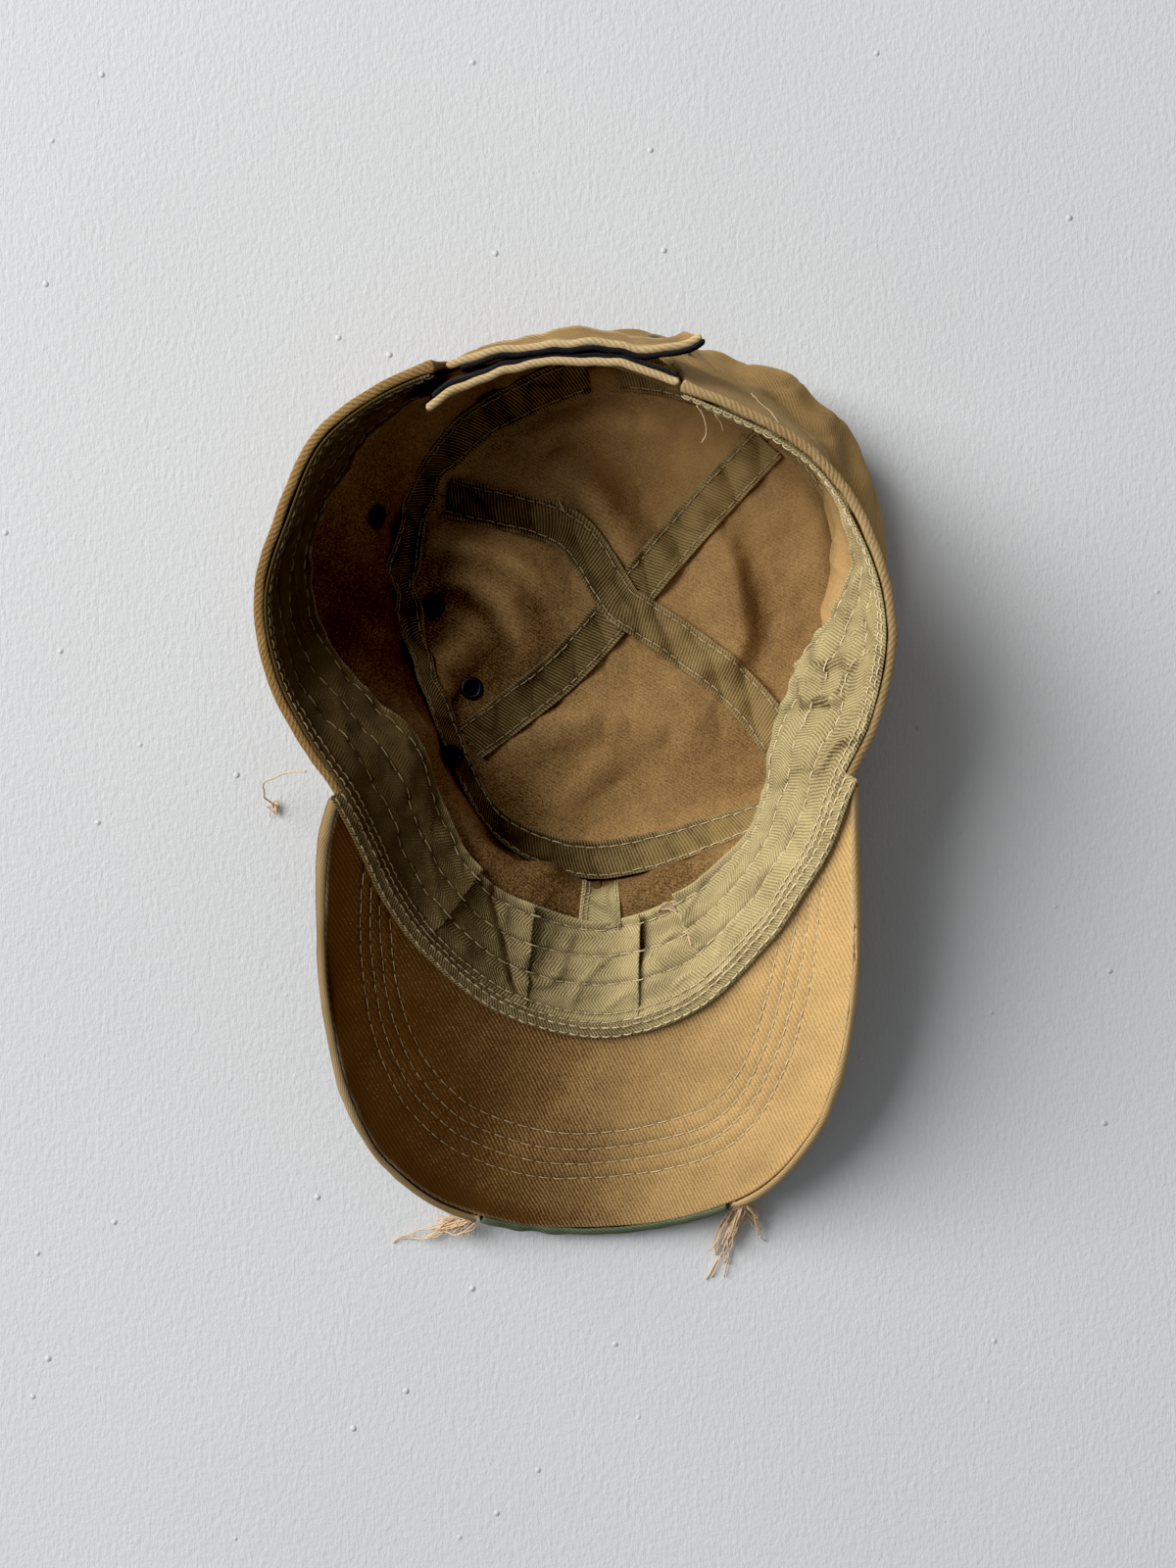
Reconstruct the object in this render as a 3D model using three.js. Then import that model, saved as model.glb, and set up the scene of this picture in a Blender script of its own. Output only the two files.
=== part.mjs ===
// A cadet cap of worn cotton twill, lying upside down on its crown.
// Units are millimetres, +Z is up, the peak points to -Y, and z = 0 is the surface that it lies on.
// Every cloth piece is a thin closed shell, worked out from a few curves round the head opening.
import * as THREE from 'three';
import { mergeVertices } from 'three/addons/utils/BufferGeometryUtils.js';

// Thickness of each cloth
const WALL_CLOTH = 1.6;
const TOP_CLOTH = 1.6;
const PEAK_CLOTH = 1.5;
const STRAP_CLOTH = 1.6;
const PATCH_CLOTH = 1.2;
const FASTENER = 0.9;
const TAPE = 0.9;
const BAND = 1.1;

// Other driving sizes
const WALL_HEIGHT = 77;
const TAPE_WIDTH = 13;
const BAND_WIDTH = 30;
const STRAP_WIDTH = 22;
const PATCH_WIDTH = 16;
const EYELET_RADIUS = 3.6;
const EYELET_WIRE = 1.1;
const GAP = 0.35;

// How high the back arch cuts into the wall, as a share of the wall's height
const ARCH_HEIGHT = 0.55;

// The middle that the walls face, and the shift that puts the finished cap's middle at the origin
const HEAD = { x: 4, y: 38 };
const CENTRE = { x: 0.6, y: -1.4 };

// Angles round the head opening, in degrees: 0 back, 90 left, 180 front, 270 right
const LEFT_END = 20.4;
const RIGHT_END = 338;
const PEAK_LEFT = 109.4;
const PEAK_RIGHT = 250.2;

// The rim: the edge of the head opening, and the seam that it shares with the peak
const RIM = [
  { t: 0, x: -7.9, y: 117.6, z: 83 },
  { t: 20.4, x: -41.8, y: 116.4, z: 83 },
  { t: 41.5, x: -71.7, y: 99.4, z: 82 },
  { t: 59.2, x: -84.5, y: 74.2, z: 80 },
  { t: 72.2, x: -90.3, y: 53.8, z: 79 },
  { t: 85.8, x: -87.2, y: 32.5, z: 77 },
  { t: 98.2, x: -78.6, y: 14.6, z: 75.5 },
  { t: 109.4, x: -68.8, y: -0.2, z: 73.2 },
  { t: 118.6, x: -63, y: -12.6, z: 66.2 },
  { t: 130.4, x: -56.5, y: -27.9, z: 57.6 },
  { t: 143, x: -46.4, y: -42.9, z: 48 },
  { t: 161.3, x: -25.2, y: -61.3, z: 35.1 },
  { t: 180, x: 3.8, y: -69.3, z: 29 },
  { t: 198.5, x: 31, y: -60.7, z: 35 },
  { t: 218, x: 52, y: -38.8, z: 48.9 },
  { t: 228, x: 59.9, y: -26, z: 56.7 },
  { t: 237.3, x: 66.5, y: -13.8, z: 64.1 },
  { t: 250.2, x: 72.4, y: 4.3, z: 72.4 },
  { t: 261.8, x: 79.8, y: 20.5, z: 74.2 },
  { t: 278.3, x: 83.8, y: 46, z: 76 },
  { t: 294.2, x: 77.6, y: 69.9, z: 78 },
  { t: 312, x: 61.6, y: 92.6, z: 80 },
  { t: 338, x: 25.2, y: 110.9, z: 82.6 },
];

// The joint of the wall and the crown top, as it lies: leaning to the back and to the right
const CROWN_EDGE = [
  { t: 0, x: 5, y: 133.5, z: 5 },
  { t: 29.2, x: -28.9, y: 121.2, z: 5 },
  { t: 42.9, x: -43, y: 110.6, z: 5.5 },
  { t: 60.2, x: -54.8, y: 93.8, z: 6 },
  { t: 83.8, x: -60, y: 65.1, z: 6 },
  { t: 105.8, x: -55, y: 38.3, z: 6 },
  { t: 129.6, x: -44.2, y: 10.6, z: 5.5 },
  { t: 149, x: -32, y: -9.8, z: 5 },
  { t: 165, x: -14.5, y: -18.4, z: 4.5 },
  { t: 180, x: 4.3, y: -20.5, z: 4.5 },
  { t: 202.4, x: 36, y: -14.7, z: 4.5 },
  { t: 223.6, x: 66, y: -5, z: 5 },
  { t: 237.5, x: 80, y: 9, z: 5.5 },
  { t: 253.4, x: 86, y: 30, z: 6 },
  { t: 284.5, x: 86, y: 75, z: 6 },
  { t: 299.5, x: 80, y: 96, z: 6 },
  { t: 317, x: 62.4, y: 116.4, z: 5.5 },
  { t: 334, x: 40, y: 128, z: 5 },
];

// How the wall stands off the straight line from rim to crown edge, at three heights:
// outwards and upwards, in millimetres
const WALL_FORM = [
  { t: 0, outA: 4, upA: 0, outB: 8, upB: 0, outC: 9, upC: 2 },
  { t: 30, outA: 2, upA: 0, outB: 4, upB: 0, outC: 5, upC: 1 },
  { t: 60, outA: 5, upA: 0, outB: 3, upB: 0, outC: 0, upC: 0 },
  { t: 85, outA: 4, upA: 0, outB: 0, upB: 0, outC: -3, upC: 0 },
  { t: 105, outA: -3, upA: 2, outB: -4, upB: 2, outC: -4, upC: 1 },
  { t: 125, outA: -4, upA: 6, outB: -9, upB: 5, outC: -5, upC: 1 },
  { t: 145, outA: -6, upA: 9, outB: -13, upB: 14, outC: -5, upC: 3 },
  { t: 162, outA: -8, upA: 9, outB: -15, upB: 16, outC: -3, upC: 1 },
  { t: 180, outA: -9, upA: 7, outB: -13, upB: 13, outC: -1, upC: 0 },
  { t: 200, outA: -8, upA: 9, outB: -14, upB: 15, outC: -2, upC: 1 },
  { t: 218, outA: -9, upA: 8, outB: -13, upB: 10, outC: -3, upC: 1 },
  { t: 237, outA: -9, upA: 4, outB: -8, upB: 4, outC: -1, upC: 0 },
  { t: 256, outA: -9, upA: 2, outB: -12, upB: 0, outC: 1, upC: 0 },
  { t: 272, outA: -10, upA: 0, outB: -15, upB: 0, outC: 2, upC: 0 },
  { t: 286, outA: -8, upA: 0, outB: -13, upB: 0, outC: 4, upC: 0 },
  { t: 297, outA: -5, upA: 0, outB: -8, upB: 0, outC: 7.5, upC: 0 },
  { t: 312, outA: 1, upA: 0, outB: 3, upB: 0, outC: 11, upC: 1 },
  { t: 336, outA: 3, upA: 0, outB: 6, upB: 0, outC: 8, upC: 2 },
];
const HEIGHTS = { A: 0.3, B: 0.55, C: 0.8 };

// Folds pressed into the wall: where, how long and wide (degrees and share of the height),
// how they slant, and how deep they go outwards
const WALL_FOLDS = [
  { t: 74, v: 0.82, long: 9, wide: 0.09, slant: 0, depth: 3 },
  { t: 90, v: 0.7, long: 7, wide: 0.1, slant: 0.01, depth: -3.5 },
  { t: 118, v: 0.75, long: 5, wide: 0.14, slant: 0.01, depth: -3 },
  { t: 300, v: 0.36, long: 14, wide: 0.06, slant: -0.003, depth: -2.6 },
  { t: 316, v: 0.62, long: 12, wide: 0.07, slant: 0.002, depth: -2.4 },
  { t: 281, v: 0.72, long: 9, wide: 0.08, slant: 0.004, depth: 2.2 },
  { t: 246, v: 0.66, long: 5, wide: 0.12, slant: 0, depth: 2.5 },
];

// Ridges and dents of the crown top: centre, half length and half width, heading and height
const TOP_FOLDS = [
  { x: -33, y: 73, long: 17, wide: 5, heading: -24, height: 5 },
  { x: -30, y: 57, long: 13, wide: 6, heading: 42, height: 3.6 },
  { x: -40, y: 42, long: 12, wide: 6, heading: 64, height: 3.8 },
  { x: 1, y: 92, long: 13, wide: 6.5, heading: -58, height: 4.6 },
  { x: 30, y: 64, long: 14, wide: 8, heading: -75, height: 2.4 },
  { x: -24, y: 84, long: 15, wide: 6, heading: -20, height: 3.6 },
  { x: 62, y: 88, long: 14, wide: 9, heading: 60, height: 2 },
];

// The peak: its outer edge, by the share of its run from the left corner to the right one
const PEAK_EDGE = [
  { p: 0, x: -70.7, y: 0.6 },
  { p: 0.045, x: -74.4, y: -15 },
  { p: 0.105, x: -75.8, y: -39.4 },
  { p: 0.15, x: -75.8, y: -55.9 },
  { p: 0.197, x: -74.1, y: -73 },
  { p: 0.236, x: -71.7, y: -87.2 },
  { p: 0.273, x: -67.5, y: -99.6 },
  { p: 0.312, x: -61.3, y: -111.2 },
  { p: 0.376, x: -45.8, y: -126.3 },
  { p: 0.44, x: -24.2, y: -134.9 },
  { p: 0.501, x: -0.6, y: -137.4 },
  { p: 0.562, x: 23.2, y: -134.8 },
  { p: 0.62, x: 43.8, y: -127.7 },
  { p: 0.67, x: 57.2, y: -117.8 },
  { p: 0.73, x: 68.6, y: -100.2 },
  { p: 0.763, x: 72.3, y: -89 },
  { p: 0.797, x: 74.9, y: -77.1 },
  { p: 0.839, x: 76.4, y: -61.9 },
  { p: 0.885, x: 76.8, y: -45 },
  { p: 0.955, x: 75, y: -18 },
  { p: 1, x: 73.4, y: 3.2 },
];
const PEAK_FORM = { x: 3.5, y: -68, z: 29.2, slope: 0.355, halfWidth: 72, sag: 20 };
const GREEN = { from: 0.415, to: 0.618 };

// The two closure straps: their upper edge, and how far the lower edge leans outwards
const STRAP_INNER = [
  { s: 0, x: -43.6, y: 104.4, z: 81, lean: 4 },
  { s: 0.2, x: -33.5, y: 109.8, z: 82.5, lean: 5 },
  { s: 0.45, x: -15.1, y: 115.2, z: 83, lean: 6 },
  { s: 0.6, x: -4.2, y: 116.3, z: 83, lean: 6 },
  { s: 0.8, x: 9, y: 115.2, z: 83, lean: 5 },
  { s: 1, x: 24.4, y: 111.1, z: 82.8, lean: 3 },
];
const STRAP_OUTER = [
  { s: 0, x: -38.9, y: 117.2, z: 83, lean: 4 },
  { s: 0.2, x: -26.6, y: 119.4, z: 83.6, lean: 6 },
  { s: 0.45, x: -9, y: 121.6, z: 84, lean: 8 },
  { s: 0.6, x: 3, y: 121.8, z: 84, lean: 8.5 },
  { s: 0.8, x: 17, y: 119.8, z: 83.6, lean: 8 },
  { s: 0.92, x: 26, y: 121.4, z: 83.4, lean: 7 },
  { s: 1, x: 30.6, y: 124.6, z: 83.2, lean: 6 },
];

// Sweatband pieces: where they start and end at the rim and at the free edge, and how far
// the free edge stands off the wall
const BAND_PIECES = [
  { name: 'left', rimFrom: 22, freeFrom: 25, rimTo: 141.4, freeTo: 146, lift: 1 },
  { name: 'pleat_left', rimFrom: 142, freeFrom: 146.7, rimTo: 165.4, freeTo: 163, lift: 0 },
  { name: 'front', rimFrom: 166, freeFrom: 164, rimTo: 186.4, freeTo: 188.4, lift: 0.4 },
  { name: 'pleat_right', rimFrom: 187.2, freeFrom: 189.2, rimTo: 203.4, freeTo: 199.4, lift: 0.9 },
  { name: 'right', rimFrom: 204.2, freeFrom: 200.4, rimTo: 336.5, freeTo: 333, lift: 2.2 },
];
const BAND_STANDOFF = [
  { t: 20, off: 0 },
  { t: 75, off: 0 },
  { t: 95, off: 4 },
  { t: 112, off: 6 },
  { t: 130, off: 5 },
  { t: 150, off: 1.5 },
  { t: 205, off: 1.5 },
  { t: 225, off: 4 },
  { t: 245, off: 11 },
  { t: 262, off: 8 },
  { t: 280, off: 1 },
  { t: 338, off: 0 },
];

// Eyelets: on the crown top by place, on the wall by angle and share of its height
const TOP_EYELETS = [
  { name: 'eyelet_left_2', x: -48.6, y: 58.6 },
  { name: 'eyelet_left_3', x: -36.4, y: 33 },
];
const WALL_EYELETS = [
  { name: 'eyelet_left_1', t: 64, v: 0.74, raised: 0 },
  { name: 'eyelet_left_4', t: 126.5, v: 0.82, raised: 0 },
  { name: 'eyelet_right_1', t: 240, v: 0.7, raised: 0.2 },
  { name: 'eyelet_right_2', t: 261, v: 0.8, raised: 0.7 },
  { name: 'eyelet_right_3', t: 288, v: 0.8, raised: 1 },
  { name: 'eyelet_right_4', t: 311, v: 0.8, raised: 1.3 },
];

// Materials
const twill = new THREE.MeshStandardMaterial({ color: 0x9c7a4a, roughness: 0.9 });
const peakTwill = new THREE.MeshStandardMaterial({ color: 0xb09064, roughness: 0.9 });
const tapeCloth = new THREE.MeshStandardMaterial({ color: 0x8f8058, roughness: 0.9 });
const greenTwill = new THREE.MeshStandardMaterial({ color: 0x5a674b, roughness: 0.9 });
const fastenerCloth = new THREE.MeshStandardMaterial({ color: 0x1c1a18, roughness: 0.95 });
const blackMetal = new THREE.MeshStandardMaterial({ color: 0x16161a, roughness: 0.4, metalness: 0.8 });

// Small vector sums
const add = (a, b, k = 1) => [a[0] + b[0] * k, a[1] + b[1] * k, a[2] + b[2] * k];
const subtract = (a, b) => add(a, b, -1);
const mix = (a, b, k) => a.map((value, i) => value + (b[i] - value) * k);
const cross = (a, b) => [
  a[1] * b[2] - a[2] * b[1],
  a[2] * b[0] - a[0] * b[2],
  a[0] * b[1] - a[1] * b[0],
];
const unit = (a) => {
  const length = Math.hypot(...a);
  return a.map((value) => value / length);
};
const smooth = (low, high, value) => {
  const k = Math.min(1, Math.max(0, (value - low) / (high - low)));
  return k * k * (3 - 2 * k);
};

// Evenly spaced numbers, both ends included
const spread = (from, to, steps) => {
  const step = (to - from) / steps;
  return Array.from({ length: steps + 1 }, (_, i) => from + step * i);
};

// Reads one column of a table as a smooth curve of another column. A closed table wraps round.
function along(rows, key, column, at, period = 0) {
  const count = rows.length;
  const row = (i) => {
    const lap = period ? Math.floor(i / count) : 0;
    const index = period ? i - lap * count : Math.min(count - 1, Math.max(0, i));
    return [rows[index][key] + lap * period, rows[index][column]];
  };
  const place = period ? ((at % period) + period) % period : at;
  const last = count - (period ? 1 : 2);
  let i = 0;
  while (i < last && rows[i + 1][key] <= place) i += 1;
  const [[t0, p0], [t1, p1], [t2, p2], [t3, p3]] = [row(i - 1), row(i), row(i + 1), row(i + 2)];
  const span = t2 - t1;
  const slope1 = t2 > t0 ? ((p2 - p0) / (t2 - t0)) * span : 0;
  const slope2 = t3 > t1 ? ((p3 - p1) / (t3 - t1)) * span : 0;
  const k = (place - t1) / span;
  const k2 = k * k;
  const k3 = k2 * k;
  const ends = p1 * (2 * k3 - 3 * k2 + 1) + p2 * (3 * k2 - 2 * k3);
  return ends + slope1 * (k3 - 2 * k2 + k) + slope2 * (k3 - k2);
}
const pointOn = (rows, at) => ['x', 'y', 'z'].map((column) => along(rows, 't', column, at, 360));
const rim = (t) => pointOn(RIM, t);
const crownEdge = (t) => pointOn(CROWN_EDGE, t);

// The side wall
function outward(t) {
  const middle = mix(rim(t), crownEdge(t), 0.5);
  return unit([middle[0] - HEAD.x, middle[1] - HEAD.y, 0]);
}

function wallOffset(t, v, kind) {
  const rows = [
    { v: 0, off: 0 },
    { v: HEIGHTS.A, off: along(WALL_FORM, 't', `${kind}A`, t, 360) },
    { v: HEIGHTS.B, off: along(WALL_FORM, 't', `${kind}B`, t, 360) },
    { v: HEIGHTS.C, off: along(WALL_FORM, 't', `${kind}C`, t, 360) },
    { v: 1, off: 0 },
  ];
  return along(rows, 'v', 'off', v);
}

function fold(t, v, { t: at, v: height, long, wide, slant, depth }) {
  const across = (v - height - slant * (t - at)) / wide;
  return depth * Math.exp(-(((t - at) / long) ** 2) - across * across);
}

function wall(t, v) {
  const folds = WALL_FOLDS.reduce((sum, row) => sum + fold(t, v, row), 0) * Math.sin(Math.PI * v);
  const out = wallOffset(t, v, 'out') + folds;
  const point = add(mix(rim(t), crownEdge(t), v), outward(t), out);
  return add(point, [0, 0, 1], wallOffset(t, v, 'up'));
}

// The side of the wall that faces the inside of the crown
function wallInside(t, v) {
  const step = 0.004;
  const low = Math.max(0, v - step);
  const high = Math.min(1, v + step);
  const round = subtract(wall(t + 0.2, v), wall(t - 0.2, v));
  return unit(cross(round, subtract(wall(t, high), wall(t, low))));
}
const onWall = (t, v, off) => add(wall(t, v), wallInside(t, v), off);

// The crown top, a height over the surface that it lies on
function topHeight(x, y) {
  let height = TOP_CLOTH / 2;
  for (const row of TOP_FOLDS) {
    const turn = (row.heading * Math.PI) / 180;
    const longways = ((x - row.x) * Math.cos(turn) + (y - row.y) * Math.sin(turn)) / row.long;
    const across = ((y - row.y) * Math.cos(turn) - (x - row.x) * Math.sin(turn)) / row.wide;
    height += row.height * Math.exp(-longways * longways - across * across);
  }
  return height;
}

// The crown top as it lies: flat in the middle, and rising over its last stretch to the crown edge
const CROSSING = { x: 10.6, y: 58.6 };
const TOP_INSET = 1.9;
const RISE_FROM = 0.86;
const topEdge = (t) => add(crownEdge(t), outward(t), -TOP_INSET);

// How far the edge lies from the crossing and how high, for every third degree of heading
const headingOf = (x, y) => (Math.atan2(y - CROSSING.y, x - CROSSING.x) * 180) / Math.PI + 180;
const EDGE_BY_HEADING = Array.from({ length: 120 }, (_, i) => {
  const [x, y, z] = topEdge(i * 3);
  return { t: headingOf(x, y), reach: Math.hypot(x - CROSSING.x, y - CROSSING.y), z };
}).sort((a, b) => a.t - b.t);
EDGE_BY_HEADING.unshift({ ...EDGE_BY_HEADING.pop(), t: 0 });

function topSurface(x, y, off = 0) {
  const heading = headingOf(x, y);
  const reach = along(EDGE_BY_HEADING, 't', 'reach', heading, 360);
  const rise = smooth(RISE_FROM, 1, Math.hypot(x - CROSSING.x, y - CROSSING.y) / reach);
  const flat = TOP_CLOTH / 2;
  const folds = (topHeight(x, y) - flat) * (1 - rise);
  return [x, y, flat + folds + rise * (along(EDGE_BY_HEADING, 't', 'z', heading, 360) - flat) + off];
}

// Seams of the crown top, from the crossing to the crown edge
const DIAGONALS = {
  backLeft: { t: 59, bends: [{ x: -5.5, y: 81 }, { x: -28, y: 88.5 }] },
  frontLeft: { t: 129.6, bends: [{ x: -8, y: 38.5 }, { x: -26, y: 24 }] },
  frontRight: { t: 229, bends: [{ x: 30, y: 46 }, { x: 50, y: 29 }] },
  backRight: { t: 317, bends: [{ x: 27, y: 78 }, { x: 45, y: 98 }] },
};

function diagonal(name, r) {
  const { t, bends } = DIAGONALS[name];
  const end = topEdge(t);
  const rows = [
    { r: 0, ...CROSSING },
    { r: 1 / 3, ...bends[0] },
    { r: 2 / 3, ...bends[1] },
    { r: 1, x: end[0], y: end[1] },
  ];
  return [along(rows, 'r', 'x', r), along(rows, 'r', 'y', r)];
}

function topPanel(from, to, r, a) {
  const start = DIAGONALS[from].t;
  const span = (DIAGONALS[to].t - start + 360) % 360;
  const one = diagonal(from, r);
  const two = diagonal(to, r);
  const edge = topEdge(start + span * a);
  const endOne = diagonal(from, 1);
  const endTwo = diagonal(to, 1);
  const place = [0, 1].map((i) => {
    const line = one[i] + (two[i] - one[i]) * a;
    const chord = endOne[i] + (endTwo[i] - endOne[i]) * a;
    return line + r * r * (edge[i] - chord);
  });
  return topSurface(place[0], place[1]);
}

// Closed shell of a sheet: a grid of points on the sheet, given thickness towards both sides
function shell(sheet, { columns, rows: rowsOrSteps, thickness, name, material, taper }) {
  const step = 1e-3;
  const normalAt = (a, v) => {
    const a0 = Math.max(0, a - step);
    const a1 = Math.min(1, a + step);
    const v0 = Math.max(0, v - step);
    const v1 = Math.min(1, v + step);
    return unit(cross(subtract(sheet(a1, v), sheet(a0, v)), subtract(sheet(a, v1), sheet(a, v0))));
  };
  const heights = Array.isArray(rowsOrSteps) ? rowsOrSteps : spread(0, 1, rowsOrSteps);
  const rows = heights.length - 1;
  const positions = [];
  for (const side of [0.5, -0.5]) {
    for (let i = 0; i <= columns; i += 1) {
      for (let j = 0; j <= rows; j += 1) {
        const a = i / columns;
        const v = heights[j];
        const width = thickness * (taper ? taper(a, v) : 1);
        positions.push(...add(sheet(a, v), normalAt(a, v), side * width));
      }
    }
  }
  const layer = (columns + 1) * (rows + 1);
  const at = (i, j, side) => side * layer + i * (rows + 1) + j;
  const faces = [];
  const quad = (a, b, c, d) => faces.push(a, b, c, a, c, d);
  for (let i = 0; i < columns; i += 1) {
    for (let j = 0; j < rows; j += 1) {
      quad(at(i, j, 0), at(i + 1, j, 0), at(i + 1, j + 1, 0), at(i, j + 1, 0));
      quad(at(i, j, 1), at(i, j + 1, 1), at(i + 1, j + 1, 1), at(i + 1, j, 1));
    }
    quad(at(i, 0, 0), at(i, 0, 1), at(i + 1, 0, 1), at(i + 1, 0, 0));
    quad(at(i, rows, 0), at(i + 1, rows, 0), at(i + 1, rows, 1), at(i, rows, 1));
  }
  for (let j = 0; j < rows; j += 1) {
    quad(at(0, j, 0), at(0, j + 1, 0), at(0, j + 1, 1), at(0, j, 1));
    quad(at(columns, j, 0), at(columns, j, 1), at(columns, j + 1, 1), at(columns, j + 1, 0));
  }
  const geometry = new THREE.BufferGeometry();
  geometry.setAttribute('position', new THREE.Float32BufferAttribute(positions, 3));
  geometry.setIndex(faces);
  return mesh(name, geometry, material);
}

function mesh(name, geometry, material) {
  const piece = new THREE.Mesh(geometry, material);
  piece.name = name;
  return piece;
}

const cap = new THREE.Group();

// Side wall: two halves that meet under the back arch and at the front seam
function archEdge(v) {
  return v < ARCH_HEIGHT ? Math.sqrt(1 - (v / ARCH_HEIGHT) ** 2) : 0;
}

// The wall thickens to a turned hem along the rim
const HEM = { extra: 0.6, reach: 3 };
const hem = (a, v) => 1 + HEM.extra * Math.exp(-(((v * WALL_HEIGHT) / HEM.reach) ** 2));

const WALL_ROWS = [0, 0.05, 0.15, 0.26, 0.37, 0.45, 0.51, 0.54, 0.55, 0.66, 0.77, 0.88, 1];

function addWall(name, endAngle, frontAngle, seamGap) {
  const sheet = (a, v) => {
    const back = endAngle > 180 ? 360 - seamGap - (360 - seamGap - endAngle) * archEdge(v)
      : seamGap + (endAngle - seamGap) * archEdge(v);
    return wall(back + (frontAngle - back) * a, v);
  };
  cap.add(shell(sheet, {
    columns: 28, rows: WALL_ROWS, thickness: WALL_CLOTH, name, material: twill, taper: hem,
  }));
}
addWall('side_wall_left', LEFT_END, 179.85, 0.15);
addWall('side_wall_right', RIGHT_END, 180.15, 0.15);

// Crown top: four quarters between the diagonal seams
const QUARTERS = [
  { name: 'crown_top_back', from: 'backRight', to: 'backLeft', way: [-0.25, 0.97] },
  { name: 'crown_top_left', from: 'backLeft', to: 'frontLeft', way: [-1, 0] },
  { name: 'crown_top_front', from: 'frontLeft', to: 'frontRight', way: [0.1, -0.99] },
  { name: 'crown_top_right', from: 'frontRight', to: 'backRight', way: [1, 0.05] },
];
const QUARTER_GAP = 0.3;

// Where the rows of a quarter lie on the way from the crossing to the edge: closer on the rise
const QUARTER_ROWS = [...spread(0.05, RISE_FROM, 6), ...spread(RISE_FROM, 1, 3).slice(1)];
const quarterRow = (v) => {
  const place = v * (QUARTER_ROWS.length - 1);
  const i = Math.min(QUARTER_ROWS.length - 2, Math.floor(place));
  return QUARTER_ROWS[i] + (QUARTER_ROWS[i + 1] - QUARTER_ROWS[i]) * (place - i);
};
for (const { name, from, to, way } of QUARTERS) {
  const sheet = (a, v) => {
    const point = topPanel(from, to, quarterRow(v), a);
    return add(point, [way[0], way[1], 0], QUARTER_GAP);
  };
  cap.add(shell(sheet, {
    columns: 10, rows: QUARTER_ROWS.length - 1, thickness: TOP_CLOTH, name, material: twill,
  }));
}

// Tapes over the diagonal seams. The upper one humps over the lower one where they cross.
const HUMP_REACH = 16;
const TAPE_OFF = TOP_CLOTH / 2 + 2 * GAP + TAPE / 2;
const TAPE_ENDS = [0.075, 0.93];
function diagonalTape(name, from, to, off, bump) {
  const halfWidth = TAPE_WIDTH / 2;
  const centre = (s) => (s < 0.5 ? diagonal(from, 1 - 2 * s) : diagonal(to, 2 * s - 1));
  const sheet = (a, v) => {
    const s = TAPE_ENDS[0] + (TAPE_ENDS[1] - TAPE_ENDS[0]) * a;
    const here = centre(s);
    const before = centre(Math.max(0, s - 0.02));
    const after = centre(Math.min(1, s + 0.02));
    const run = unit([after[0] - before[0], after[1] - before[1], 0]);
    const side = (v - 0.5) * 2 * halfWidth;
    const x = here[0] - run[1] * side;
    const y = here[1] + run[0] * side;
    const away = Math.hypot(x - CROSSING.x, y - CROSSING.y) / HUMP_REACH;
    return topSurface(x, y, off + bump * Math.exp(-away * away));
  };
  cap.add(shell(sheet, { columns: 26, rows: 2, thickness: TAPE, name, material: tapeCloth }));
}
diagonalTape('seam_tape_under', 'frontLeft', 'backRight', TAPE_OFF, 0);
diagonalTape('seam_tape_over', 'backLeft', 'frontRight', TAPE_OFF + 0.15, TAPE + GAP + 0.5);

// Tape round the crown edge, bent from the top up the wall, and open at the back
const EDGE_TAPE = { from: 4, to: 356, corner: 3, wallShare: 0.915 };
function edgeTape(a, v) {
  const t = EDGE_TAPE.from + (EDGE_TAPE.to - EDGE_TAPE.from) * a;
  const edge = crownEdge(t);
  const way = outward(t);
  const onTop = add(edge, way, -TOP_INSET - TAPE_WIDTH / 2);
  const low = topSurface(onTop[0], onTop[1], TAPE_OFF + 0.2);
  const corner = add(add(edge, way, -EDGE_TAPE.corner), [0, 0, 1], EDGE_TAPE.corner);
  const high = onWall(t, EDGE_TAPE.wallShare, WALL_CLOTH / 2 + GAP + TAPE / 2);
  return mix(mix(low, corner, v), mix(corner, high, v), v);
}
cap.add(shell(edgeTape, {
  columns: 60, rows: 3, thickness: TAPE, name: 'crown_edge_tape', material: tapeCloth,
}));

// Tape over the wall's front seam
const FRONT_TAPE = { t: 179.6, half: 4.3, from: 0.43, to: 0.73 };
const frontTape = (a, v) => onWall(
  FRONT_TAPE.t + FRONT_TAPE.half * (2 * v - 1),
  FRONT_TAPE.from + (FRONT_TAPE.to - FRONT_TAPE.from) * a,
  WALL_CLOTH / 2 + 1.5 * GAP + TAPE / 2,
);
cap.add(shell(frontTape, {
  columns: 10, rows: 2, thickness: TAPE, name: 'front_seam_tape', material: tapeCloth,
}));

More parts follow.
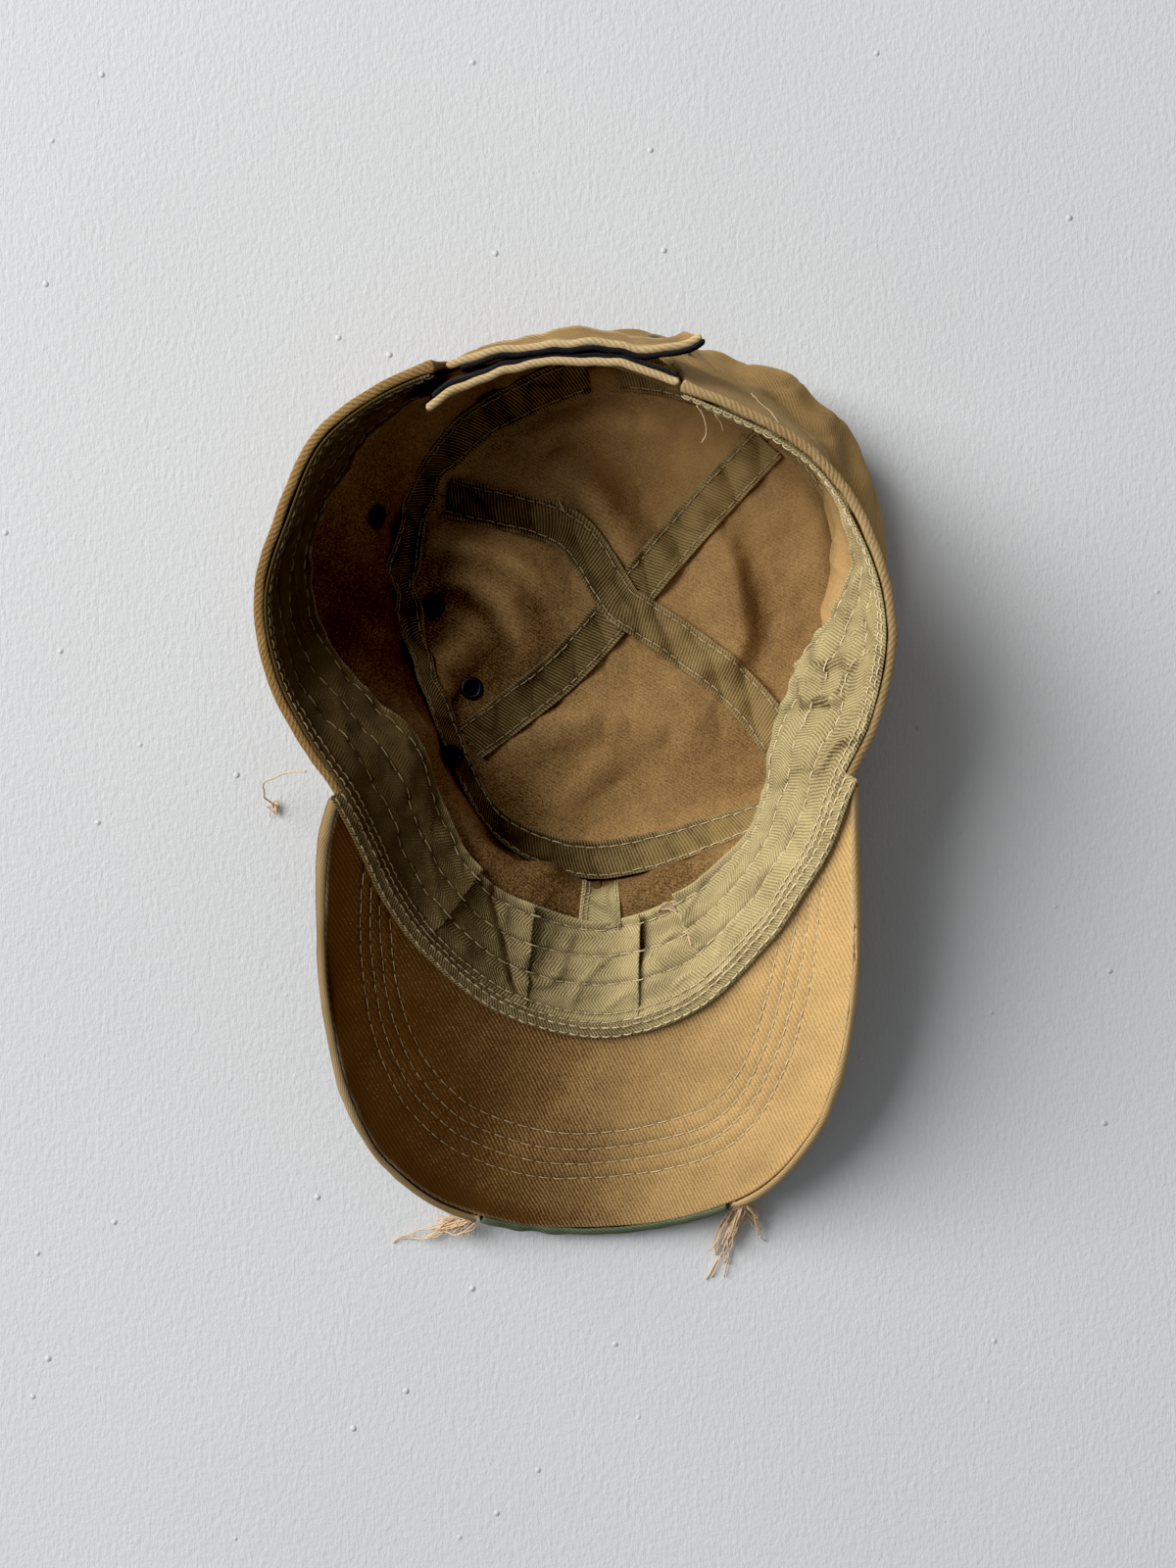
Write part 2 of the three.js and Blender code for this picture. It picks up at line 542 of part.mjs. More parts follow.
// Sweatband: sewn along the rim, and standing off the wall towards its free edge
const BAND_SEAM = 0.008;
const BAND_CLEARANCE = 0.5;
const BAND_CURL = 1.3;
function band(t, w, lift) {
  const v = BAND_SEAM + (w * BAND_WIDTH) / WALL_HEIGHT;
  const base = onWall(t, v, (WALL_CLOTH * hem(0, v)) / 2 + BAND_CLEARANCE + BAND / 2);
  const off = (along(BAND_STANDOFF, 't', 'off', t) + lift) * w ** BAND_CURL;
  return add(add(base, outward(t), -off), [0, 0, 1], 0.5 * lift * w);
}
for (const { name, rimFrom, freeFrom, rimTo, freeTo, lift } of BAND_PIECES) {
  const columns = Math.max(4, Math.round((rimTo - rimFrom) / 6));
  const sheet = (a, w) => {
    const from = rimFrom + (freeFrom - rimFrom) * w;
    const to = rimTo + (freeTo - rimTo) * w;
    return band(from + (to - from) * a, w, lift);
  };
  cap.add(shell(sheet, {
    columns, rows: 3, thickness: BAND, name: `sweatband_${name}`, material: tapeCloth,
  }));
}

// Peak: the height of its lower cloth, and the line from the sewn seam to the outer edge
function peakHeight(x, y) {
  const { x: middle, y: seam, z, slope, halfWidth, sag } = PEAK_FORM;
  return z + slope * (y - seam) + sag * ((x - middle) / halfWidth) ** 2;
}

// The seam side of the peak keeps clear of the wall, whichever way the wall leans there
function peakPlace(p, u) {
  const t = PEAK_LEFT + (PEAK_RIGHT - PEAK_LEFT) * p;
  const lean = wallInside(t, 0.01);
  const inner = add(rim(t), outward(t), GAP + 0.8 * WALL_CLOTH * Math.hypot(lean[0], lean[1]));
  const outer = [along(PEAK_EDGE, 'p', 'x', p), along(PEAK_EDGE, 'p', 'y', p)];
  return [inner[0] + (outer[0] - inner[0]) * u, inner[1] + (outer[1] - inner[1]) * u];
}

const peakWidth = (p) => {
  const inner = peakPlace(p, 0);
  const outer = peakPlace(p, 1);
  return Math.hypot(outer[0] - inner[0], outer[1] - inner[1]);
};

// A point of the peak: how far in from the outer edge, and how far up from the lower cloth
const SEAM_MARGIN = 0.2;
function peakPoint(p, inset, up) {
  const width = peakWidth(p);
  const [x, y] = peakPlace(p, 1 - Math.min(inset, width - SEAM_MARGIN) / width);
  const { x: middle, slope, halfWidth, sag } = PEAK_FORM;
  const normal = unit([(-2 * sag * (x - middle)) / halfWidth ** 2, -slope, 1]);
  return add([x, y, peakHeight(x, y)], normal, up);
}

// The lower cloth stops short of the rolled edge, and both cloths end just short of the corners
const LOWER_ENDS = { from: 0.04, to: 0.945 };
const UPPER_ENDS = { from: 0.02, to: 0.972 };
const LOWER_INSET = 3.8;
const FLAT_INSET = 2.4;
const lowerCloth = (a, v) => {
  const p = LOWER_ENDS.from + (LOWER_ENDS.to - LOWER_ENDS.from) * a;
  return peakPoint(p, LOWER_INSET + (peakWidth(p) - SEAM_MARGIN - LOWER_INSET) * (1 - v), 0);
};
cap.add(shell(lowerCloth, {
  columns: 32, rows: 5, thickness: PEAK_CLOTH, name: 'peak_lower_cloth', material: peakTwill,
}));

// A cloth that runs out under the peak and, where it is rolled, curls up round its edge
const FLAT_SHARE = 0.5;
const FLAT_STRETCH = 2.1;
const ROLL_ANGLE = 190;
function rolled(p, s, { up, radius, cloth, from, curl }) {
  const start = Math.min(from, peakWidth(p) - SEAM_MARGIN - 0.05);
  const bottom = cloth / 2 + radius;
  const turning = Math.max(0, (s - FLAT_SHARE) / (1 - FLAT_SHARE));
  const stop = curl ? bottom : FLAT_INSET + FLAT_STRETCH * (1 - turning);
  if (s <= FLAT_SHARE) return peakPoint(p, start + ((stop - start) * s) / FLAT_SHARE, up);
  if (!curl) return peakPoint(p, stop, up);
  const turn = (turning * ROLL_ANGLE * Math.PI) / 180;
  return peakPoint(p, bottom - radius * Math.sin(turn), up + radius * (1 - Math.cos(turn)));
}

const UPPER_UP = -(PEAK_CLOTH + GAP);
const WHOLE_WIDTH = 200;
const upperStations = [
  ...spread(UPPER_ENDS.from, GREEN.from, 14),
  ...spread(GREEN.from + 0.01, GREEN.to - 0.01, 7),
  ...spread(GREEN.to, UPPER_ENDS.to, 14),
];
const UPPER_ROLL = { up: UPPER_UP, radius: 1.3, cloth: PEAK_CLOTH, from: WHOLE_WIDTH };
const upperCloth = (a, v) => {
  const place = a * (upperStations.length - 1);
  const i = Math.min(upperStations.length - 2, Math.floor(place));
  const point = (p) => rolled(p, v, { ...UPPER_ROLL, curl: p <= GREEN.from || p >= GREEN.to });
  return mix(point(upperStations[i]), point(upperStations[i + 1]), place - i);
};
cap.add(shell(upperCloth, {
  columns: upperStations.length - 1,
  rows: 8,
  thickness: PEAK_CLOTH,
  name: 'peak_upper_cloth',
  material: peakTwill,
}));

// The green cloth rolled round the front of the peak, in the stretch where the upper cloth is flat
const GREEN_MARGIN = 0.016;
const PATCH_UP = UPPER_UP - PEAK_CLOTH / 2 - GAP - PATCH_CLOTH / 2;
const edgePatch = (a, v) => {
  const p = GREEN.from + GREEN_MARGIN + (GREEN.to - GREEN.from - 2 * GREEN_MARGIN) * a;
  return rolled(p, v, { up: PATCH_UP, radius: 1.9, cloth: PATCH_CLOTH, from: PATCH_WIDTH, curl: true });
};
cap.add(shell(edgePatch, {
  columns: 12, rows: 8, thickness: PATCH_CLOTH, name: 'peak_edge_patch', material: greenTwill,
}));

// Closure straps: upright bands that lean outwards at their lower edge
const STRAP_COLUMNS = ['x', 'y', 'z', 'lean'];
function strap(rows, s, w, off = 0) {
  const at = (value) => STRAP_COLUMNS.map((column) => along(rows, 's', column, value));
  const [x, y, z, lean] = at(s);
  const before = at(Math.max(0, s - 0.01));
  const after = at(Math.min(1, s + 0.01));
  const way = unit([before[1] - after[1], after[0] - before[0], 0]);
  const drop = Math.sqrt(STRAP_WIDTH ** 2 - lean ** 2);
  return add([x, y, z - drop * w], way, lean * w + off);
}

function addStrap(name, rows, { from, to, slant, top, bottom, off, thickness, material }) {
  const sheet = (a, w) => {
    const start = from + slant * w;
    return strap(rows, start + (to - start) * a, top + (bottom - top) * w, off);
  };
  cap.add(shell(sheet, { columns: 14, rows: 2, thickness, name, material }));
}
const FASTENER_OFF = STRAP_CLOTH / 2 + GAP + FASTENER / 2;
const WHOLE = { top: 0, bottom: 1, off: 0, thickness: STRAP_CLOTH, material: twill };
const PATCH = { top: 0.05, bottom: 0.93, slant: 0, thickness: FASTENER, material: fastenerCloth };
addStrap('strap_inner', STRAP_INNER, { ...WHOLE, from: 0, to: 1, slant: 0 });
addStrap('strap_outer', STRAP_OUTER, { ...WHOLE, from: 0, to: 1, slant: 0.17 });
addStrap('loop_patch', STRAP_INNER, { ...PATCH, from: 0.1, to: 0.98, off: FASTENER_OFF });
addStrap('hook_patch', STRAP_OUTER, { ...PATCH, from: 0.1, to: 0.97, off: -FASTENER_OFF });

// Eyelets: rings that sit on the cloth. Some stand a little higher, where the cloth is creased.
function addEyelet(name, point, normal) {
  const ring = new THREE.TorusGeometry(EYELET_RADIUS - EYELET_WIRE / 2, EYELET_WIRE / 2, 4, 12);
  for (const attribute of ['normal', 'uv']) ring.deleteAttribute(attribute);
  const eyelet = mesh(name, mergeVertices(ring, 1e-4), blackMetal);
  eyelet.position.set(...point);
  eyelet.quaternion.setFromUnitVectors(new THREE.Vector3(0, 0, 1), new THREE.Vector3(...normal));
  cap.add(eyelet);
}
const EYELET_OFF = WALL_CLOTH / 2 + 2 * GAP + EYELET_WIRE / 2;
for (const { name, t, v, raised } of WALL_EYELETS) {
  addEyelet(name, onWall(t, v, EYELET_OFF + raised), wallInside(t, v));
}
const TOP_EYELET_RAISED = 0.3;
for (const { name, x, y } of TOP_EYELETS) {
  const across = subtract(topSurface(x + 2.5, y), topSurface(x - 2.5, y));
  const up = subtract(topSurface(x, y + 2.5), topSurface(x, y - 2.5));
  const normal = unit(cross(across, up));
  addEyelet(name, add(topSurface(x, y), normal, EYELET_OFF + TOP_EYELET_RAISED), normal);
}

// The small green patch on the outside of the back wall
const BACK_PATCH = { from: 340, to: 348.5, high: 0.5, low: 0.62, cloth: 0.7 };
const backPatch = (a, v) => onWall(
  BACK_PATCH.from + (BACK_PATCH.to - BACK_PATCH.from) * a,
  BACK_PATCH.high + (BACK_PATCH.low - BACK_PATCH.high) * v,
  -(WALL_CLOTH / 2 + GAP + BACK_PATCH.cloth / 2),
);
cap.add(shell(backPatch, {
  columns: 4, rows: 2, thickness: BACK_PATCH.cloth, name: 'back_patch', material: greenTwill,
}));

cap.position.set(CENTRE.x, CENTRE.y, 0);

export default cap;
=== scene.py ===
"""A worn tan cadet cap, lying upside down on its crown and seen from straight above.

Every cloth piece follows the same curves round the head opening as the solid that it stands for,
with the folds, seams, stitches and loose threads of the real cloth. Lengths are in millimetres
until a mesh is made. +Z is up, and the peak points to -Y.
"""

import math

import bpy
import numpy as np
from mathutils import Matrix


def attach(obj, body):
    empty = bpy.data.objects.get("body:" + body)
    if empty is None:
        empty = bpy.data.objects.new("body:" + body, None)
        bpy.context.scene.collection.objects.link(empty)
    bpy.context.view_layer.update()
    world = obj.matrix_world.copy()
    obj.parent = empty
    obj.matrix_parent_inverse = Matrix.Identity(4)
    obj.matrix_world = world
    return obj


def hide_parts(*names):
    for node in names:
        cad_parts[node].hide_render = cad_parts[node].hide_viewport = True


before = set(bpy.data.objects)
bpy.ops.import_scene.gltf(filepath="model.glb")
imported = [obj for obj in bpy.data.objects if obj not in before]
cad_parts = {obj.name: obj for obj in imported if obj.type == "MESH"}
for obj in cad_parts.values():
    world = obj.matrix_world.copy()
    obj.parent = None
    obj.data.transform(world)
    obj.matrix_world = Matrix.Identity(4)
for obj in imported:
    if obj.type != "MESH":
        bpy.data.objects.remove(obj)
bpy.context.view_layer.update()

MM = 0.001

# Thickness of each cloth
WALL_CLOTH = 1.6
TOP_CLOTH = 1.6
PEAK_CLOTH = 1.5
STRAP_CLOTH = 1.6
PATCH_CLOTH = 1.2
WORN_PATCH_CLOTH = 0.7
TAPE = 0.7
BAND = 0.8
PILE = 1.7

# Other driving sizes
WALL_HEIGHT = 77
TAPE_WIDTH = 13
BAND_WIDTH = 30
STRAP_WIDTH = 22
PATCH_WIDTH = 16
EYELET_RADIUS = 3.6
CROWN_TAPE_WIDTH = 14
GAP = 0.35

# The arch at the back, as a share of the wall's height, the middle of the head opening (x, y), and
# how far the tables of places are moved
ARCH_HEIGHT = 0.55
HEAD = (4, 38)
CENTRE = np.array([0.6, -1.4, 0.0])

# Angles round the head opening, in degrees: 0 back, 90 left, 180 front, 270 right
FRONT = 180
LEFT_END = 20.4
RIGHT_END = 338
PEAK_LEFT = 109.4
PEAK_RIGHT = 250.2

# Millimetres of the rim in one of these degrees, about
RIM_DEGREE = 1.7

UP = np.array([0.0, 0.0, 1.0])

# How many cosines make up one random height
WAVES = 14

# Curves


class Curve:
    """A smooth curve through the rows of a table, whose first column is where each row lies."""

    def __init__(self, rows, period=None):
        rows = np.array(rows, float)
        self.first, self.last, self.period = 0, len(rows) - 2, period
        if period:
            lap = np.zeros(rows.shape[1])
            lap[0] = period
            rows = np.vstack([rows[-1] - lap, rows, rows[:2] + lap])
            self.first, self.last = 1, len(rows) - 3
        self.keys, self.values = rows[:, 0], rows[:, 1:]

    def __call__(self, at):
        at = np.asarray(at, float)
        place = np.mod(at, self.period) if self.period else at
        i = np.clip(np.searchsorted(self.keys, place, side="right") - 1, self.first, self.last)
        before, after = np.maximum(i - 1, 0), np.minimum(i + 2, len(self.keys) - 1)
        t0, t1, t2, t3 = (self.keys[k][..., None] for k in (before, i, i + 1, after))
        p0, p1, p2, p3 = (self.values[k] for k in (before, i, i + 1, after))
        span = t2 - t1
        slope1, slope2 = (p2 - p0) / (t2 - t0) * span, (p3 - p1) / (t3 - t1) * span
        k = (place[..., None] - t1) / span
        k2, k3 = k * k, k * k * k
        ends = p1 * (2 * k3 - 3 * k2 + 1) + p2 * (3 * k2 - 2 * k3)
        return ends + slope1 * (k3 - 2 * k2 + k) + slope2 * (k3 - k2)


def unit(vectors):
    length = np.linalg.norm(vectors, axis=-1, keepdims=True)
    return vectors / np.maximum(length, 1e-9)


def smooth(low, high, value):
    k = np.clip((value - low) / (high - low), 0, 1)
    return k * k * (3 - 2 * k)


def bump(value, at, width):
    return np.exp(-(((value - at) / width) ** 2))


def between(low, high, share):
    return low + (high - low) * share


def planar(x, y, z=0.0):
    return np.stack(np.broadcast_arrays(x, y, z), axis=-1)


def paired(*values):
    """Arrays of one shape, from numbers or arrays."""
    return np.broadcast_arrays(*(np.asarray(value, float) for value in values))


def oval(x, y, long, wide, heading):
    """A soft oval lump of height 1, with its half length and half width."""
    turn = math.radians(heading)
    along = (x * math.cos(turn) + y * math.sin(turn)) / long
    across = (y * math.cos(turn) - x * math.sin(turn)) / wide
    return np.exp(-(along**2) - across**2)


def waves(points, size, seed, stretch=(1, 1, 1)):
    """A smooth random height from about -1 to 1 at each point, with lumps of about that size."""
    random = np.random.default_rng(seed)
    ways = unit(random.normal(size=(WAVES, 3))) * random.uniform(0.6, 1.4, (WAVES, 1))
    phases = random.uniform(0, 2 * math.pi, WAVES)
    placed = np.asarray(points) / np.array(stretch, float)
    return np.cos(placed @ ways.T * (math.pi / size) + phases).sum(-1) * (1.4 / math.sqrt(WAVES))


def creases(points, size, seed, stretch=(1, 1, 1)):
    """Sharp lines between soft hollows, from 0 in the hollows to 1 on the lines."""
    return 1 - np.minimum(1, np.abs(waves(points, size, seed, stretch)) * 1.6)


# The rim of the head opening: angle, x, y, z
RIM = Curve(
    [
        (0, -7.9, 117.6, 83), (20.4, -41.8, 116.4, 83), (41.5, -71.7, 99.4, 82),
        (59.2, -84.5, 74.2, 80), (72.2, -90.3, 53.8, 79), (85.8, -87.2, 32.5, 77),
        (98.2, -78.6, 14.6, 75.5), (109.4, -68.8, -0.2, 73.2), (118.6, -63, -12.6, 66.2),
        (130.4, -56.5, -27.9, 57.6), (143, -46.4, -42.9, 48), (161.3, -25.2, -61.3, 35.1),
        (180, 3.8, -69.3, 29), (198.5, 31, -60.7, 35), (218, 52, -38.8, 48.9),
        (228, 59.9, -26, 56.7), (237.3, 66.5, -13.8, 64.1), (250.2, 72.4, 4.3, 72.4),
        (261.8, 79.8, 20.5, 74.2), (278.3, 83.8, 46, 76), (294.2, 77.6, 69.9, 78),
        (312, 61.6, 92.6, 80), (338, 25.2, 110.9, 82.6),
    ],
    360,
)

# The joint of the wall and the crown top: angle, x, y, z
CROWN_EDGE = Curve(
    [
        (0, 5, 133.5, 5), (29.2, -28.9, 121.2, 5), (42.9, -43, 110.6, 5.5), (60.2, -54.8, 93.8, 6),
        (83.8, -60, 65.1, 6), (105.8, -55, 38.3, 6), (129.6, -44.2, 10.6, 5.5), (149, -32, -9.8, 5),
        (165, -14.5, -18.4, 4.5), (180, 4.3, -20.5, 4.5), (202.4, 36, -14.7, 4.5),
        (223.6, 66, -5, 5), (237.5, 80, 9, 5.5), (253.4, 86, 30, 6), (284.5, 86, 75, 6),
        (299.5, 80, 96, 6), (317, 62.4, 116.4, 5.5), (334, 40, 128, 5),
    ],
    360,
)

# How the wall stands off the straight line from rim to crown edge, at three heights:
# angle, then outwards and upwards at 0.3, 0.55 and 0.8 of the height
WALL_FORM = Curve(
    [
        (0, 4, 0, 8, 0, 9, 2), (30, 2, 0, 4, 0, 5, 1), (60, 5, 0, 3, 0, 0, 0),
        (85, 4, 0, 0, 0, -3, 0), (105, -3, 2, -4, 2, -4, 1), (125, -4, 6, -9, 5, -5, 1),
        (145, -6, 9, -13, 14, -5, 3), (162, -8, 9, -15, 16, -3, 1), (180, -9, 7, -13, 13, -1, 0),
        (200, -8, 9, -14, 15, -2, 1), (218, -9, 8, -13, 10, -3, 1), (237, -9, 4, -8, 4, -1, 0),
        (256, -9, 2, -12, 0, 1, 0), (272, -10, 0, -15, 0, 2, 0), (286, -8, 0, -13, 0, 4, 0),
        (297, -5, 0, -8, 0, 7.5, 0), (312, 1, 0, 3, 0, 11, 1), (336, 3, 0, 6, 0, 8, 2),
    ],
    360,
)
HEIGHTS = (0, 0.3, 0.55, 0.8, 1)
WALL_SHARES = Curve([(height, *row) for height, row in zip(HEIGHTS, np.eye(5))])

# Folds pressed into the wall: angle, share of the height, half length in degrees, half width,
# slant, and how deep they go outwards
WALL_FOLDS = [
    (74, 0.82, 9, 0.09, 0, 3),
    (90, 0.7, 7, 0.1, 0.01, -3.5),
    (118, 0.75, 5, 0.14, 0.01, -3),
    (300, 0.62, 15, 0.07, -0.003, -2.4),
    (318, 0.5, 14, 0.06, 0.002, -2.4),
    (308, 0.8, 14, 0.06, 0.001, -2.0),
    (281, 0.72, 9, 0.08, 0.004, 2.2),
    (246, 0.66, 5, 0.12, 0, 2.5),
    (166, 0.56, 7, 0.14, 0, -2.6),
    (195, 0.56, 7, 0.14, 0, -2.6),
    (180, 0.62, 4, 0.2, 0, 1.6),
]


def rim(t):
    return RIM(t) + CENTRE


def crown_edge(t):
    return CROWN_EDGE(t) + CENTRE


def outward(t):
    middle = (RIM(t) + CROWN_EDGE(t)) / 2
    return unit(planar(middle[..., 0] - HEAD[0], middle[..., 1] - HEAD[1]))


def wall(t, v):
    """The middle of the wall's cloth, from the rim at v 0 to the crown edge at v 1."""
    t, v = paired(t, v)
    shares, form = WALL_SHARES(v)[..., 1:4], WALL_FORM(t)
    out, up = (shares * form[..., 0::2]).sum(-1), (shares * form[..., 1::2]).sum(-1)
    for at, height, long, wide, slant, depth in WALL_FOLDS:
        across = (v - height - slant * (t - at)) / wide
        fold = depth * np.exp(-(((t - at) / long) ** 2) - across * across)
        out = out + fold * np.sin(math.pi * np.clip(v, 0, 1))
    line = between(rim(t), crown_edge(t), v[..., None])
    return line + outward(t) * out[..., None] + UP * up[..., None]


def wall_inside(t, v):
    """The side of the wall that faces the inside of the crown."""
    t, v = paired(t, v)
    low, high = np.maximum(0, v - 0.004), np.minimum(1, v + 0.004)
    return unit(np.cross(wall(t + 0.2, v) - wall(t - 0.2, v), wall(t, high) - wall(t, low)))


def on_wall(t, v, off):
    return wall(t, v) + wall_inside(t, v) * np.asarray(off, float)[..., None]


# Crown top

# Where the seams cross, how far the edge lies inside the wall's, and the share of the way out from
# the crossing at which the cloth starts to rise to it
CROSSING = np.array([10.6, 58.6]) + CENTRE[:2]
TOP_INSET = 1.9
RISE_FROM = 0.86

# Ridges and dents of the crown top: x, y, half length, half width, heading, height
TOP_FOLDS = [
    (-33, 73, 17, 5, -24, 5),
    (-30, 57, 13, 6, 42, 3.6),
    (-40, 42, 12, 6, 64, 3.8),
    (1, 92, 13, 6.5, -58, 4.6),
    (30, 64, 14, 8, -75, 2.4),
    (-24, 84, 15, 6, -20, 3.6),
    (62, 88, 14, 9, 60, 2),
]


def top_folds(x, y):
    height = 0.0
    for at_x, at_y, *form, high in TOP_FOLDS:
        height = height + high * oval(x - at_x - CENTRE[0], y - at_y - CENTRE[1], *form)
    return height


# Ridges and valleys of the rumpled cloth: a line of places (x, y), the half widths on its left and
# on its right, and its height before scaling
RIDGE_SCALE = 1.35
TOP_RIDGES = [
    (((-56, 77), (-44, 78), (-29, 76), (-17, 69), (-9, 58)), 9.0, 4.4, 5.6),
    (((-52, 68), (-36, 66), (-26, 59), (-20, 46), (-22, 36)), 7.5, 4.2, 6.0),
    (((-36, 48), (-48, 39), (-46, 22)), 6.0, 5.5, 6.0),
    (((-30, 38), (-38, 28), (-50, 14)), 3.4, 4.5, -6.0),
    (((-14, 104), (-2, 95), (8, 84), (16, 70)), 10.0, 4.6, 6.4),
    (((38, 86), (44, 72), (48, 48), (42, 34)), 4.6, 9.0, 5.0),
    (((-34, 8), (-16, 20), (4, 26), (26, 22)), 8.0, 9.0, 4.4),
    (((-12, -6), (0, 6), (8, 14)), 5.5, 7.0, 3.0),
    (((62, 100), (72, 84), (74, 62)), 6.0, 7.0, 4.0),
    (((-20, 112), (4, 116), (30, 112)), 8.0, 5.0, 3.0),
]


def ridge(x, y, line, left, right, high):
    """One fold along a line of straight runs."""
    nearest, side, along = (np.full(np.shape(x), value) for value in (1e9, 1.0, 0.0))
    lengths = [math.dist(start, stop) for start, stop in zip(line[:-1], line[1:])]
    passed = 0.0
    for start, stop, length in zip(line[:-1], line[1:], lengths):
        start, stop = np.array(start) + CENTRE[:2], np.array(stop) + CENTRE[:2]
        run = (stop - start) / length
        dx, dy = x - start[0], y - start[1]
        reach = dx * run[0] + dy * run[1]
        kept = np.clip(reach, 0, length)
        away = np.hypot(dx - run[0] * kept, dy - run[1] * kept)
        closer = away < nearest
        nearest = np.where(closer, away, nearest)
        side = np.where(closer, run[0] * dy - run[1] * dx, side)
        along = np.where(closer, (passed + kept) / sum(lengths), along)
        passed += length
    width = between(left, right, smooth(1.5, -1.5, side))
    return high * np.exp(-((nearest / width) ** 2)) * (0.25 + 0.75 * np.sin(math.pi * along))


def top_ridges(x, y):
    return RIDGE_SCALE * sum(ridge(x, y, *row) for row in TOP_RIDGES)


def top_hollows(x, y):
    """How much higher each place of the crown top lies than the cloth 5 mm around it."""
    beside = [top_surface(x + dx, y + dy)[..., 2] for dx, dy in ((5, 0), (-5, 0), (0, 5), (0, -5))]
    return np.clip(top_surface(x, y)[..., 2] - sum(beside) / 4, -2, 2)


def top_edge(t):
    return crown_edge(t) - outward(t) * TOP_INSET


def heading_of(x, y):
    return np.degrees(np.arctan2(y - CROSSING[1], x - CROSSING[0])) + 180


def edge_by_heading():
    """How far the crown edge lies from the crossing, and how high, by heading."""
    edge = top_edge(np.arange(0, 360, 3.0))
    reach = np.hypot(edge[:, 0] - CROSSING[0], edge[:, 1] - CROSSING[1])
    rows = np.column_stack([heading_of(edge[:, 0], edge[:, 1]), reach, edge[:, 2]])
    rows = rows[np.argsort(rows[:, 0])]
    last = rows[-1].copy()
    last[0] = 0
    return Curve(np.vstack([last, rows[:-1]]), 360)


EDGE_BY_HEADING = edge_by_heading()


def top_surface(x, y, off=0.0):
    """A point of the crown top's cloth, as it lies: flat in the middle, rising at its edge."""
    reach = EDGE_BY_HEADING(heading_of(x, y))
    rise = smooth(RISE_FROM, 1, np.hypot(x - CROSSING[0], y - CROSSING[1]) / reach[..., 0])
    flat = TOP_CLOTH / 2
    height = top_folds(x, y) * 0.6 + top_ridges(x, y)
    height = 0.5 * (height + np.sqrt(height * height + 1.0))
    z = flat + height * (1 - rise) + rise * (reach[..., 1] - flat) + off
    return planar(x, y, z)


# Seams of the crown top: the angle where each ends, and two bends on its way (x, y)
DIAGONALS = {
    "back_left": (59, (-5.5, 81), (-28, 88.5)),
    "front_left": (129.6, (-8, 38.5), (-26, 24)),
    "front_right": (229, (30, 46), (50, 29)),
    "back_right": (317, (27, 78), (45, 98)),
}


def diagonal(name, r):
    t, *bends = DIAGONALS[name]
    places = [CROSSING, *(np.array(bend) + CENTRE[:2] for bend in bends), top_edge(np.array(t))[:2]]
    return Curve([(k / 3, *place) for k, place in enumerate(places)])(r)


# Peak

# Its outer edge: share of the run from the left corner to the right one, x, y
PEAK_EDGE = Curve(
    [
        (0, -70.7, 0.6), (0.045, -74.4, -15), (0.105, -75.8, -39.4), (0.15, -75.8, -55.9),
        (0.197, -74.1, -73), (0.236, -71.7, -87.2), (0.273, -67.5, -99.6), (0.312, -61.3, -111.2),
        (0.376, -45.8, -126.3), (0.44, -24.2, -134.9), (0.501, -0.6, -137.4), (0.562, 23.2, -134.8),
        (0.62, 43.8, -127.7), (0.67, 57.2, -117.8), (0.73, 68.6, -100.2), (0.763, 72.3, -89),
        (0.797, 74.9, -77.1), (0.839, 76.4, -61.9), (0.885, 76.8, -45), (0.955, 75, -18),
        (1, 73.4, 3.2),
    ]
)

# The peak's lower cloth: its middle (x), a place on it at the seam (y, z), its slope, half its
# width, and how far its sides rise
PEAK_MIDDLE, PEAK_SEAM, PEAK_Z = 3.5, -68, 29.2
PEAK_SLOPE, PEAK_HALF, PEAK_SAG = 0.355, 72, 20

# From where to where the green edge runs, as shares of the peak's edge
GREEN_FROM, GREEN_TO = 0.415, 0.618


def peak_place(p, u):
    t = between(PEAK_LEFT, PEAK_RIGHT, p)
    lean = wall_inside(t, 0.01)
    stand = GAP + 0.8 * WALL_CLOTH * np.hypot(lean[..., 0], lean[..., 1])
    inner = rim(t) + outward(t) * stand[..., None]
    outer = PEAK_EDGE(p) + CENTRE[:2]
    return between(inner[..., :2], outer, np.asarray(u, float)[..., None])


def peak_width(p):
    return np.linalg.norm(peak_place(p, np.ones_like(p)) - peak_place(p, np.zeros_like(p)), axis=-1)


def peak_normal(x):
    across = -2 * PEAK_SAG * (x - CENTRE[0] - PEAK_MIDDLE) / PEAK_HALF**2
    return unit(planar(across, -PEAK_SLOPE, 1.0))


def peak_point(p, inset, up):
    """A point of the peak, so far in from its outer edge and so far up from its lower cloth."""
    p, inset, up = paired(p, inset, up)
    place = peak_place(p, 1 - inset / peak_width(p))
    x, y = place[..., 0], place[..., 1]
    across = (x - CENTRE[0] - PEAK_MIDDLE) / PEAK_HALF
    z = PEAK_Z + PEAK_SLOPE * (y - CENTRE[1] - PEAK_SEAM) + PEAK_SAG * across**2
    return planar(x, y, z) + peak_normal(x) * up[..., None]


# Meshes


# Where a cloth's first steps lie, as shares of its rounded edge, and how thin it is at its very end
EDGE_STEPS = np.array([0, 0.12, 0.35, 0.7, 1.0])
THINNEST = 0.18


def steps(length, count, edge):
    """Shares from 0 to 1 of a length, evenly spaced but close together at both ends."""
    near = EDGE_STEPS * edge / length
    middle = np.linspace(near[-1], 1 - near[-1], count)[1:-1]
    return np.concatenate([near, middle, 1 - near[::-1]])


